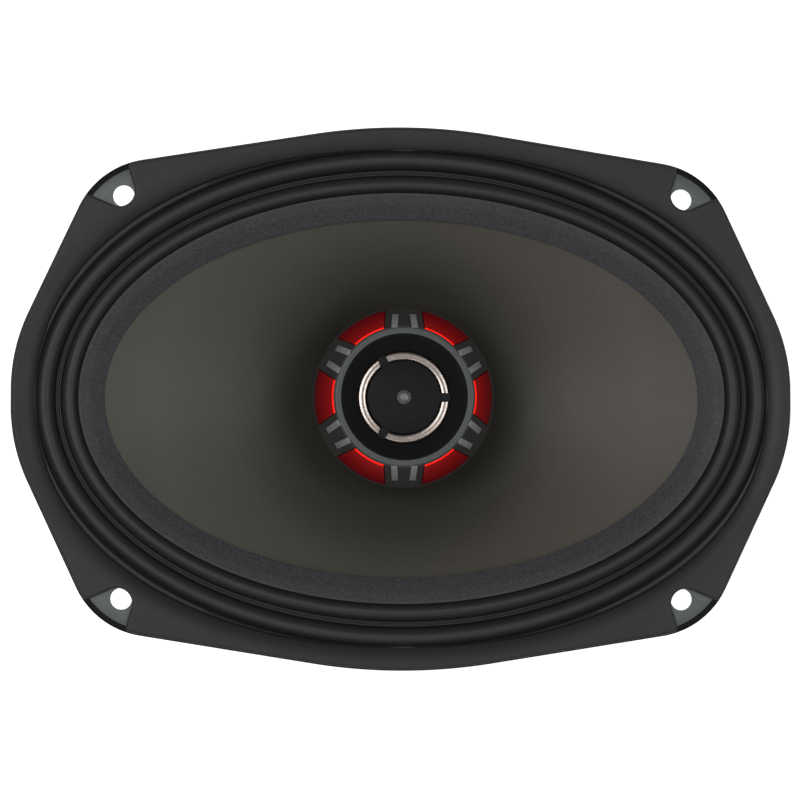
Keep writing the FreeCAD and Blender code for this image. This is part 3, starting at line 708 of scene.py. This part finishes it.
def notch_loop():
    """First quarter of the gasket's edge, with the notch that leaves the bolt hole bare."""
    inset, corner_reach, spacing, tip_steps = 0.6, 1.6, 1.2, 12
    axis = polar(1, NOTCH_AXIS)
    centre = Vector((HOLE_X, HOLE_Y)) + axis * NOTCH_SHIFT
    turn = 90 + NOTCH_FLARE
    tip = [centre + polar(NOTCH_RADIUS, NOTCH_AXIS + 360 - turn - (360 - 2 * turn) * step / tip_steps)
           for step in range(tip_steps + 1)]
    lower, upper = polar(1, NOTCH_AXIS - NOTCH_FLARE), polar(1, NOTCH_AXIS + NOTCH_FLARE)

    def bare(point):
        """Whether the point lies between the notch's two straight edges."""
        return lower.cross(point - tip[0]) > 0 and upper.cross(point - tip[-1]) < 0

    edge = [p for p in quarter_outline(inset) if not bare(p)]
    before = [p for p in edge if p.x > HOLE_X]
    after = [p for p in edge if p.x < HOLE_X]
    first, last = before[-1], after[0]
    before = [p for p in before if (p - first).length > corner_reach] + [first]
    after = [last] + [p for p in after if (p - last).length > corner_reach]
    enter = rounded([before[-2], first, tip[0]], corner_reach, closed=False)
    leave = rounded([tip[-1], last, after[1]], corner_reach, closed=False)
    notch = divided(enter[1:], spacing) + tip[1:-1] + divided(leave[:-1], spacing)
    return before[:-1] + notch + after[1:]


def inset_loop(loop, inset):
    """A closed anticlockwise loop moved inwards."""
    moved = []
    for index, point in enumerate(loop):
        along = (loop[(index + 1) % len(loop)] - loop[index - 1]).normalized()
        moved.append(point + Vector((-along.y, along.x)) * inset)
    return moved


def front_gasket():
    """Rubbery ring: flat outside, rolling down to its opening, with a notch at each bolt hole."""
    loop = four_quarters(notch_loop())
    roll, edge_round, edge_steps, rows_across = 11.0, 0.6, 5, 18
    bottom, lip = FLANGE_TOP, FLANGE_TOP + RUBBER + 0.1
    lip_under = lip - 0.05
    shoulder = inset_loop(loop, edge_round)
    inner_edge = [p.normalized() * full_oval_radius(GASKET_OPENING, *p) for p in shoulder]

    def height(distance):
        """Height of the upper surface at a distance from the opening."""
        fall = max(0.0, 1 - distance / roll)
        return GASKET_TOP - (GASKET_TOP - lip) * fall ** 4

    tops = [height((outer - inner).length) for outer, inner in zip(shoulder, inner_edge)]
    rows = [[(*p, bottom) for p in loop]]
    for step in range(edge_steps + 1):
        turn = radians(90 * step / edge_steps)
        moved = inset_loop(loop, edge_round * (1 - cos(turn)))
        rows.append([(*p, top - edge_round * (1 - sin(turn))) for p, top in zip(moved, tops)])
    for step in range(1, rows_across + 1):
        # The rows lie closer together towards the opening, where the surface rolls down.
        part = (1 - step / rows_across) ** 1.5
        places = [inner.lerp(outer, part) for outer, inner in zip(shoulder, inner_edge)]
        rows.append([(*p, height((p - inner).length)) for p, inner in zip(places, inner_edge)])
    # Under the lip is a pocket for the surround's land.
    pocket = [p + p.normalized() * (LAND_EDGE - GASKET_OPENING + 0.2) for p in inner_edge]
    for edge, z in ((inner_edge, lip_under), (pocket, lip_under), (pocket, bottom)):
        rows.append([(*p, z) for p in edge])
    points = [point for row in rows for point in row]
    obj = mesh_object("gasket", points, loop_faces(len(loop), len(rows)), 50)
    fitted(obj, "chassis", "gasket_black", gasket_rubber(), "front_gasket")


def window_cutter(angle, low_half, high_half):
    """Radial cutter for a basket window with rounded corners."""
    low, high, near, far, corner = -36.3, -18.5, 36.0, 125.0, 4.0
    outline = rounded([(-low_half, low), (low_half, low), (high_half, high), (-high_half, high)], corner)
    cutter = extruded("window", [(near, y, z) for y, z in outline], (far - near, 0, 0))
    cutter.data.transform(Matrix.Rotation(radians(angle), 4, "Z"))
    return cutter


def hole_cutter(x, y):
    sides, low, high = 48, -1.0, 2.0
    outline = [Vector((x, y, low)) + polar(HOLE_RADIUS, 360 * step / sides).to_3d() for step in range(sides)]
    return extruded("hole", outline, (0, 0, high - low))


ARM_ANGLES = (16, 69, 111, 164, 196, 249, 291, 344)
# Windows between the arms: their angles, and half their width at the bottom and at the top.
WINDOWS = (((0, 180), 12, 17), ((90, 270), 12, 16), ((40, 140, 220, 320), 11, 15))


def arm_ring(a, b, z, part):
    """Ring of the basket's sloping wall, part of the way down, with a pressed bead on each arm."""
    width, height = 3.4, 1.3
    first, last, fade = 0.1, 0.9, 0.08
    outwards, down = 0.5, 0.87
    ends = min(1.0, max(0.0, min(part - first, last - part) / fade))
    lift = height * ends * ends * (3 - 2 * ends)
    wall = oval_ring(a, b, z)

    def point(angle):
        here = wall(angle)
        for arm in ARM_ANGLES:
            distance = (here - wall(radians(arm))).length
            if distance < width:
                swell = lift * (0.5 + 0.5 * cos(pi * distance / width))
                here += Vector((outwards * cos(angle), outwards * sin(angle), -down)) * swell
        return here
    return point


def oval_rings(sections):
    return [oval_ring(*section) for section in sections]


def sloping_rings(top, bottom, count=22):
    """Rings of the basket's wall between two sections, both left out."""
    return [arm_ring(*top.lerp(bottom, step / count), step / count) for step in range(1, count)]


def basket():
    """Pressed steel: sloping edge, steep wall, windowed arms, spider ledge and motor seat.

    The section is drawn in (a, b, z): its upper surface inwards, round the bore, and its lower one back.
    """
    a, b = oval(LAND_EDGE - 2.8)
    steel, edge_slope, land_width, bore, seat = 1.2, 1.9, 5, 17.2, 41
    seat_z, ledge_under = TOP_PLATE_Z + steel, LEDGE_Z - steel
    flange = [outline_ring(0.0, 0.0), outline_ring(0.0, 0.3), outline_ring(edge_slope, FLANGE_TOP),
              outline_ring(edge_slope + 3, FLANGE_TOP)]
    inner = rounded([(a + land_width, b + land_width, FLANGE_TOP), (a, b, FLANGE_TOP),
                     (a - 1.6, b - 1.6, -11.5), (97.6, 65.4, -16.9), (96, 64.8, -17.6)], 1.6, closed=False)
    cup = rounded([(54.5, 53.5, LEDGE_Z + 0.25), (53.2, 52.2, LEDGE_Z), (44.6, 44.6, LEDGE_Z),
                   (seat, seat, seat_z), (bore, bore, seat_z), (bore, bore, TOP_PLATE_Z),
                   (seat + 0.8, seat + 0.8, TOP_PLATE_Z), (45.4, 45.4, ledge_under),
                   (53.6, 52.6, ledge_under), (55.2, 54.2, ledge_under + 0.4)], 0.9, closed=False)
    outer = rounded([(96.6, 65.4, -18.6), (98.4, 66.2, -17.8), (a - 0.6, b - 0.6, -12.4),
                     (a + 1, b + 1, 0.0), (a + land_width, b + land_width, 0.0)], 1.8, closed=False)
    rings = flange + oval_rings(inner) + sloping_rings(inner[-1], cup[0])
    rings += oval_rings(cup) + sloping_rings(outer[0], cup[-1])[::-1]
    rings += oval_rings(outer) + [outline_ring(0.6, 0.0)]
    body = swept("basket_shell", rings, 2 * OVAL_STEPS)
    boolean(body, [terminal_tab(ledge_under, steel)], "UNION")
    cutters = [window_cutter(angle, low, high) for angles, low, high in WINDOWS for angle in angles]
    cutters += [hole_cutter(x, y) for x in (-HOLE_X, HOLE_X) for y in (-HOLE_Y, HOLE_Y)]
    boolean(body, cutters, "DIFFERENCE")
    fitted(body, "chassis", "basket_paint", basket_paint(), "basket")
    # Painted shade: a near-black material on the slope round the flange's edge, where shade falls.
    painted(body, material("edge_painted_shade", grey(0.002), grey(0.0035), 0.7, (0.5, 0.55), 0.01, specular=0.1),
            on_painted_shade_slope)


def terminal_tab(low, steel):
    """Tab under the terminal board, a little thinner than the ledge that it joins."""
    half_width, outside, inside, inset = 14, -66.5, -50, 0.05
    outline = rounded(rectangle(-half_width, half_width, outside, inside), 2.0)
    return extruded("tab", [(x, y, low + inset) for x, y in outline], (0, 0, steel - 2 * inset))


def on_painted_shade_slope(face):
    """Whether a face of the basket is on the slope round the flange's edge, which gets painted shade."""
    a, b = oval(LAND_EDGE)
    beyond_land = (face.center.x / a) ** 2 + (face.center.y / b) ** 2 > MM ** 2
    below_top = 0 < face.center.z < (FLANGE_TOP - 0.05) * MM
    return beyond_land and below_top and face.normal.z > 0.3


def magnet_boot():
    """Rubber cover with grip ribs, and a channel for the tweeter wires."""
    gap = 0.3
    outer, inner, edge = BOOT_RADIUS, MAGNET_RADIUS + gap, MAGNET_RADIUS - 1.5
    yoke = extent("t_yoke")[1].x + gap
    opening, top = 20.0, extent("magnet_boot")[1].z
    ribs, rib_depth, plain_end, corner = 6, 0.7, 4, 2
    side = []
    pitch = (top - SOLE_Z - 2 * plain_end) / ribs
    for rib in range(ribs):
        low = SOLE_Z + plain_end + rib * pitch
        side += [(outer - rib_depth, low), (outer, low + 0.25 * pitch), (outer, low + 0.75 * pitch),
                 (outer - rib_depth, low + pitch)]
    over_magnet, over_yoke, under_yoke = MAGNET_TOP + 0.1, YOKE_TOP - 0.2, YOKE_BOTTOM - 0.05
    bore = [(edge, top), (edge, over_magnet), (inner, over_magnet), (inner, over_yoke), (yoke, over_yoke),
            (yoke, under_yoke), (opening, under_yoke), (opening, SOLE_Z)]
    sole = [(outer - corner, SOLE_Z), (outer, SOLE_Z + corner)]
    rim = [(outer, top - corner), (outer - corner, top)]
    body = turned("rubber_boot", rounded(bore + sole + side + rim, 0.8), 2 * ROUND_STEPS)
    # The channel comes down the side and runs under the sole to the middle.
    half_width, bed, roof = 3.4, MAGNET_RADIUS + 0.9, YOKE_BOTTOM - 0.2
    outside, inside, above, below = -50, -19, -51, SOLE_Z - 2
    groove = rounded([(outside, above), (-bed, above), (-bed, YOKE_TOP - 0.4), (-41.2, roof), (inside, roof),
                      (inside, below), (outside, below)], 0.5)
    cutter = extruded("groove", [(-half_width, y, z) for y, z in groove], (2 * half_width, 0, 0))
    boolean(body, [cutter], "DIFFERENCE")
    rubber = material("boot_rubber", grey(0.012), grey(0.022), 0.6, (0.5, 0.62), 0.02)
    fitted(body, "chassis", "boot_rubber", rubber, "magnet_boot")


# ---- cone assembly ----

def cone_height(a):
    """Height of the cone's upper surface where its long semi-axis is a."""
    part = (a - NECK_RADIUS) / (CONE_RIM - NECK_RADIUS)
    return NECK_Z + (RIM_Z - NECK_Z) * max(part, 0.0) ** FLARE_POWER


def cone_section(part, drop):
    a, b = [NECK_RADIUS + (rim - NECK_RADIUS) * part for rim in oval(CONE_RIM)]
    return a, b, cone_height(a) - drop


def cone():
    """Curved cone that goes from a round neck to an oval rim."""
    rows, foot = 40, NECK_Z - 1.5
    # The rows lie closer together towards the neck, where the cone is steep.
    parts = [(step / rows) ** 1.3 for step in range(rows + 1)]
    upper = [cone_section(part, 0.0) for part in parts]
    lower = [cone_section(part, CONE_THICKNESS) for part in parts[2:]]
    neck = [(radius, radius, foot) for radius in (NECK_RADIUS + CONE_THICKNESS, NECK_RADIUS)]
    obj = swept("cone_shell", oval_rings(upper + lower[::-1] + neck))
    fitted(obj, "cone_assembly", "cone_polypropylene", cone_polypropylene(), "cone")


BLUNTNESS = 0.85        # exponent of a roll's section: under 1 is blunter than a half circle


def arch(first, last, base_first, base_last, height, steps=14, fall=BLUNTNESS):
    """Section of one roll, as (a, z) points from first to last.

    With a larger fall, its last half comes down more softly.
    """
    middle, half = (first + last) / 2, (first - last) / 2
    points = []
    for step in range(steps + 1):
        turn = pi * step / steps
        base = base_first + (base_last - base_first) * step / steps
        power = fall if turn > pi / 2 else BLUNTNESS
        points.append((middle + half * cos(turn), base + height * sin(turn) ** power))
    return points


def surround_profile():
    """Upper surface of the surround from its land to its lip, as (a, z) points."""
    land, valley, bead_foot = FLANGE_TOP + RUBBER, FLANGE_TOP - 0.9, FLANGE_TOP + RUBBER - 0.4
    profile = [(LAND_EDGE, land - 0.1)]
    # The bead's own rows: surround() lifts them where the gasket leaves a gap.
    profile += arch(GASKET_OPENING, BEAD_INNER, land - 0.15, bead_foot, 0.0, 8)
    profile += arch(109.95, 104.25, bead_foot, valley, 2.8)
    profile += arch(103.95, 103.25, valley, valley, 0.45, 6)
    profile += arch(102.95, 97.6, valley, land - 0.6, 2.2, 14, 1.3)
    lip_top, lip_steps, tapered = 97.0, 12, 4.5
    inner = [(lip_top + 0.4, cone_height(lip_top) + RUBBER + 0.08)]
    for step in range(lip_steps + 1):
        a = lip_top + (SURROUND_LIP + 0.1 - lip_top) * step / lip_steps
        taper = min(1.0, (a - SURROUND_LIP) / tapered)
        inner.append((a, cone_height(a) + 0.06 + RUBBER * taper))
    return profile + inner


def surround():
    """Two rubber rolls between the land glued under the gasket and the lip glued on the cone."""
    lip_start, bead_swell = 97.5, 1.4
    upper = surround_profile()
    lip_edge = (SURROUND_LIP, cone_height(SURROUND_LIP) + 0.04)
    under = [(a, max(z - RUBBER + 0.04, cone_height(a) + 0.02 if a < CONE_RIM else z - RUBBER))
             for a, z in reversed(upper)]
    profile = upper + [lip_edge] + under

    def ring(a, z):
        fullness = min(1.0, max(0.0, (a - BEAD_INNER) / (GASKET_OPENING - BEAD_INNER)))
        ellipse = oval_ring(*oval(a), z)

        def point(angle):
            plain, full = ellipse(angle).xy, full_oval_point(a, angle)
            bead = bead_swell * (full - plain).length * fullness * (1 - fullness)
            return Vector((*plain.lerp(full, fullness), z + bead))
        return point

    obj = swept("rubber_surround", [ring(a, z) for a, z in profile])
    fitted(obj, None, "surround_rubber", surround_rubber(), "surround")
    on_lip = [a < lip_start and place <= len(upper) for place, (a, _) in enumerate(profile)]
    painted(obj, lip_rubber(), lambda face: all(on_lip[vertex % len(profile)] for vertex in face.vertices))
    outer, inner = 110.0, 98.0
    shares = [min(1.0, max(0.0, (outer - a) / (outer - inner))) for a, _ in profile]
    stretched(obj, shares * OVAL_STEPS)


def stretched(obj, shares):
    """Bakes the object's transform into its mesh. shares, how far each point would follow the cone, is not
    used.
    """
    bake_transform(obj)
    shares = np.array(shares)


def spider():
    """Corrugated centring disc from the coil former to the basket's ledge."""
    inner, outer, glued = 14.9, SPIDER_RADIUS, 44.6
    first, last, turns, swing, cloth = 17.5, 44.3, 5.5, 1.2, 0.5
    rows, rising_rows = 88, 8
    base = LEDGE_Z + 0.05
    upper = [(inner, base + swing + cloth)]
    for step in range(rows + 1):
        radius = first + (last - first) * step / rows
        wave = -cos(2 * pi * turns * step / rows) * min(1.0, step / rising_rows)
        upper.append((radius, base + cloth + swing * (1 + wave)))
    upper[-1] = (last, base + cloth + 0.02)
    upper.append((outer, base + cloth))
    lower = [(radius, z - cloth) for radius, z in reversed(upper)]
    obj = turned("spider_disc", upper + lower, 2 * ROUND_STEPS)
    fitted(obj, None, "spider_cloth", spider_cloth(), "spider")
    shares = [min(1.0, max(0.0, (glued - hypot(v.co.x, v.co.y) / MM) / (glued - first)))
              for v in obj.data.vertices]
    stretched(obj, shares)


# ---- tweeter ----

SHOULDER_OUTER = Vector((RIM_RADIUS - 0.35, RIM_BASE + 1.6))
SHOULDER_INNER = Vector((21.0, BEZEL_TOP))
TRIM_OUTER = 20.65
TRIM_INNER = 18.8
PAD_NEAR = (17.0, 6.35)     # radius and half width of a pad at its inner end
PAD_FAR = (30.0, 4.95)      # and at its outer end
PAD_ANGLES = range(30, 390, 60)
PLUG_TOP = 9.0


def pad_half(radius):
    """A pad's half width at a radius."""
    part = (radius - PAD_NEAR[0]) / (PAD_FAR[0] - PAD_NEAR[0])
    return PAD_NEAR[1] + (PAD_FAR[1] - PAD_NEAR[1]) * part


def shoulder_point(part, offset):
    """(radius, z) on the bezel's slope, part of the way down and offset along its normal."""
    slope = (SHOULDER_OUTER - SHOULDER_INNER).normalized()
    normal = Vector((-slope.y, slope.x))
    return SHOULDER_INNER.lerp(SHOULDER_OUTER, part) + normal * offset


def bezel_columns():
    """Columns round the bezel, as (pad angle, side, distance past the pad's edge, pocket share)."""
    pad_wall = [(-0.12, 0.0), (-0.02, 0.08), (0.05, 0.4), (0.1, 0.9), (0.2, 1.0)]
    columns = []
    for angle in PAD_ANGLES:
        columns += [(angle, share, None, 0.0) for share in np.linspace(-0.9, 0.9, 9)]
        columns += [(angle, 1, distance, depth) for distance, depth in pad_wall]
        columns += [(angle, None, share, 1.0) for share in np.linspace(0.1, 0.9, 9)]
        columns += [(angle + 60, -1, distance, depth) for distance, depth in reversed(pad_wall)]
    return columns


def column_angle(column, radius):
    """Direction of a bezel column at a radius, in radians."""
    angle, side, distance, _ = column
    if distance is None:
        return radians(angle) + asin(side * pad_half(radius) / radius)
    if side is None:
        edge = asin(pad_half(radius) / radius)
        return radians(angle) + edge + (radians(60) - 2 * edge) * distance
    return radians(angle) + side * asin((pad_half(radius) + distance) / radius)


def tweeter_bezel():
    """Front cover: a slope with six pads, and pockets between them for the red inserts."""
    pocket_depth = 1.0
    outside = rounded([(25.2, RIM_BASE), (RIM_RADIUS, RIM_BASE), (RIM_RADIUS, RIM_BASE + 1.0),
                       shoulder_point(1.0, 0.0), shoulder_point(0.997, 0.0)], 0.3, closed=False)
    # Rings down the slope, as (part of the way down, share of the pocket's depth).
    slope = [(0.994, 0.0), (0.992, 0.5), (0.988, 1.0), (0.8, 1.0), (0.6, 1.0), (0.4, 1.0), (0.2, 1.0),
             (0.03, 1.0), (0.024, 0.5), (0.02, 0.0)]
    inside = rounded([shoulder_point(0.012, 0.0), SHOULDER_INNER, (TRIM_INNER, BEZEL_TOP),
                      (TRIM_INNER, BEZEL_TOP - 2), (20.3, BEZEL_TOP - 2)], 0.15, closed=False)
    rings = [(point, 0.0) for point in outside] + slope + [(point, 0.0) for point in inside]
    points = []
    columns = bezel_columns()
    for column in columns:
        for place, share in rings:
            if isinstance(place, float):
                place = shoulder_point(place, -pocket_depth * share * column[3])
            angle = column_angle(column, place.x)
            points.append((place.x * cos(angle), place.x * sin(angle), place.y))
    obj = mesh_object("bezel_cover", points, loop_faces(len(rings), len(columns)), 30)
    black = material("bezel_black", (0.0145, 0.0132, 0.0125), (0.0225, 0.0205, 0.0195), 0.5, (0.36, 0.42),
                     0.012, specular=0.17)
    fitted(obj, "chassis", "bezel_black", black, "tweeter_bezel")


def red_accents():
    """Six clear red inserts, one in each pocket."""
    recess, depth, gap, across, down = 0.2, 0.96, 0.24, 16, 12
    first, length = 0.035, 0.95
    down_and_back = [(row, -recess) for row in range(down + 1)]
    down_and_back += [(row, -depth) for row in reversed(range(down + 1))]
    inserts = []
    for angle in PAD_ANGLES:
        points = []
        for column in range(across + 1):
            for row, offset in down_and_back:
                place = shoulder_point(first + length * row / down, offset)
                edge = asin((pad_half(place.x) + gap) / place.x)
                turn = radians(angle) + edge + (radians(60) - 2 * edge) * column / across
                points.append((place.x * cos(turn), place.x * sin(turn), place.y))
        inserts.append(bevelled(mesh_object("insert", points, slab_faces(across, down)), 0.18))
    obj = joined("red_inserts", inserts)
    fitted(obj, "chassis", "accent_red", accent_red(), "red_accents")


def slab_faces(across, down):
    """Faces of a slab: a tube of loops that each go down its top and back, and a strip at each end."""
    count = 2 * (down + 1)
    faces = loop_faces(count, across + 1, close_rows=False)
    for start in (0, across * count):
        faces += [(start + row, start + row + 1, start + count - 2 - row, start + count - 1 - row)
                  for row in range(down)]
    return faces


def tweeter_trim_ring():
    """Grey ring with two bars down each pad."""
    ring = turned("ring", rounded(rectangle(TRIM_INNER, TRIM_OUTER, BEZEL_TOP, TRIM_TOP), 0.22))
    width, offset, lean, height, reach = 1.95, 3.05, 0.1, 0.45, 24.6
    part = (reach - SHOULDER_INNER.x) / (SHOULDER_OUTER.x - SHOULDER_INNER.x)
    near_ring = TRIM_OUTER - 0.15
    section = [Vector((near_ring, BEZEL_TOP + 0.02)), shoulder_point(0.0, 0.01), shoulder_point(part, 0.01),
               shoulder_point(part, height), shoulder_point(0.04, height),
               Vector((near_ring, BEZEL_TOP + height))]
    bars = []
    for side in (-1, 1):
        outline = [(r, side * (offset - lean * (r - near_ring)) - width / 2, z) for r, z in section]
        bar = extruded("bar", outline, (0, width, 0))
        bars += turned_copies(bevelled(bar, 0.14), PAD_ANGLES)
    body = joined("trim_ring", [ring] + bars)
    paint = material("trim_grey", (0.026, 0.030, 0.029), (0.042, 0.047, 0.046), 0.25, (0.34, 0.4), 0.008,
                     metallic=0.15, specular=0.2)
    light_paint = material("bar_grey", (0.085, 0.087, 0.091), (0.135, 0.138, 0.143), 0.25, (0.36, 0.42),
                           0.008, metallic=0.2, specular=0.2)
    fitted(body, "chassis", "trim_grey", paint, "tweeter_trim_ring")
    painted(body, light_paint, lambda face: face.center.xy.length > (TRIM_OUTER + 0.1) * MM)


def tweeter_waveguide():
    """Dish, and the phase plug that three bridges hold in its throat."""
    throat, mouth, foot, plug_radius = 13.9, 18.75, 20, 11.0
    base, step, dish_top = 7.2, 9.5, BEZEL_TOP + 0.2
    dish_side = [(mouth, dish_top), (throat, 8.4), (throat, base), (foot, base), (foot, step), (mouth, step)]
    plug_side = [(0, base), (plug_radius - 0.3, base), (plug_radius, 7.7), (plug_radius, 8.2), (7, 8.75),
                 (3.2, PLUG_TOP), (0, PLUG_TOP)]
    dish = turned("waveguide_dish", rounded(dish_side, 0.35))
    plug = turned("plug", rounded(plug_side, 0.4))
    bridge_half, side = 1.3, rectangle(plug_radius - 1, throat + 1, 7.35, 8.1)
    bridge = extruded("bridge", [(x, -bridge_half, z) for x, z in side], (0, 2 * bridge_half, 0))
    bridges = turned_copies(bevelled(bridge, 0.15), (0, 120, 240))
    boolean(dish, [plug] + bridges, "UNION")
    black = material("waveguide_black", grey(0.003), grey(0.0052), 0.6, (0.5, 0.55), 0.004, specular=0.07)
    fitted(dish, "chassis", "waveguide_black", black, "tweeter_waveguide")


def phase_plug_pin():
    """Small pressed-metal button with nine facets."""
    radius, facets, sharp, top = 2.15, 9, 10, extent("phase_plug_pin")[1].z
    profile = [(0, PLUG_TOP - 0.3), (radius, PLUG_TOP - 0.3), (radius, PLUG_TOP + 0.1),
               (1.2, PLUG_TOP + 0.5), (0.5, PLUG_TOP + 0.42), (0, top - 0.1)]
    obj = turned("plug_button", profile, facets, sharp)
    metal = material("pin_metal", grey(0.035), grey(0.09), 0.3, (0.4, 0.5), 0.02, metallic=0.6)
    fitted(obj, "chassis", "pin_metal", metal, "phase_plug_pin")


def tweeter_diaphragm():
    """Metallised film: shallow dome, blunt roll and flat edge."""
    centre, roll, film, edge, rise, height = 12.45, 1.95, 0.2, 15.2, 1.1, 1.45
    dome_steps, roll_steps, roll_bluntness = 15, 20, 0.6
    level, dome = DIAPHRAGM_Z + film, centre - roll
    upper = [(0, level + rise)]
    for step in range(1, dome_steps + 1):
        radius = dome * step / dome_steps
        upper.append((radius, level + rise * (1 - (radius / dome) ** 2)))
    for step in range(1, roll_steps):
        turn = pi * (1 - step / roll_steps)
        upper.append((centre + roll * cos(turn), level + height * sin(turn) ** roll_bluntness))
    upper += [(centre + roll, level), (edge, level)]
    lower = [(radius, z - film) for radius, z in reversed(upper)]
    obj = turned("dome_film", upper + lower, 2 * ROUND_STEPS)
    foil = material("diaphragm_film", (0.17, 0.145, 0.13), (0.215, 0.19, 0.175), 0.9, (0.22, 0.26), 0.001,
                    metallic=1.0)
    fitted(obj, "tweeter_dome", "diaphragm_film", foil, "tweeter_diaphragm")


def tweeter_housing():
    """Moulded cup that holds the tweeter on its post."""
    post, foot, floor = 5.5, -13, -10.5
    outside = [(post, foot), (8.5, foot), (17.5, -10.5), (23, -5), (26.3, 1), (RIM_RADIUS, RIM_BASE)]
    inside = [(25.9, RIM_BASE), (24.9, 1.2), (21.6, -4.2), (16.6, -9.2), (post, floor)]
    obj = turned("tweeter_cup", rounded(outside + inside, 0.9))
    black = material("housing_black", grey(0.010), grey(0.018), 0.5, (0.4, 0.5), 0.015)
    fitted(obj, "chassis", "housing_black", black, "tweeter_housing")


def finish_cad_nodes():
    for made, names in node_materials():
        for holder in [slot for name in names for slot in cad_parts[name].material_slots]:
            holder.material = made


make_camera()
make_leads()
make_studio()
front_gasket()
basket()
magnet_boot()
cone()
surround()
spider()
tweeter_bezel()
red_accents()
tweeter_trim_ring()
tweeter_waveguide()
phase_plug_pin()
tweeter_diaphragm()
tweeter_housing()
finish_cad_nodes()
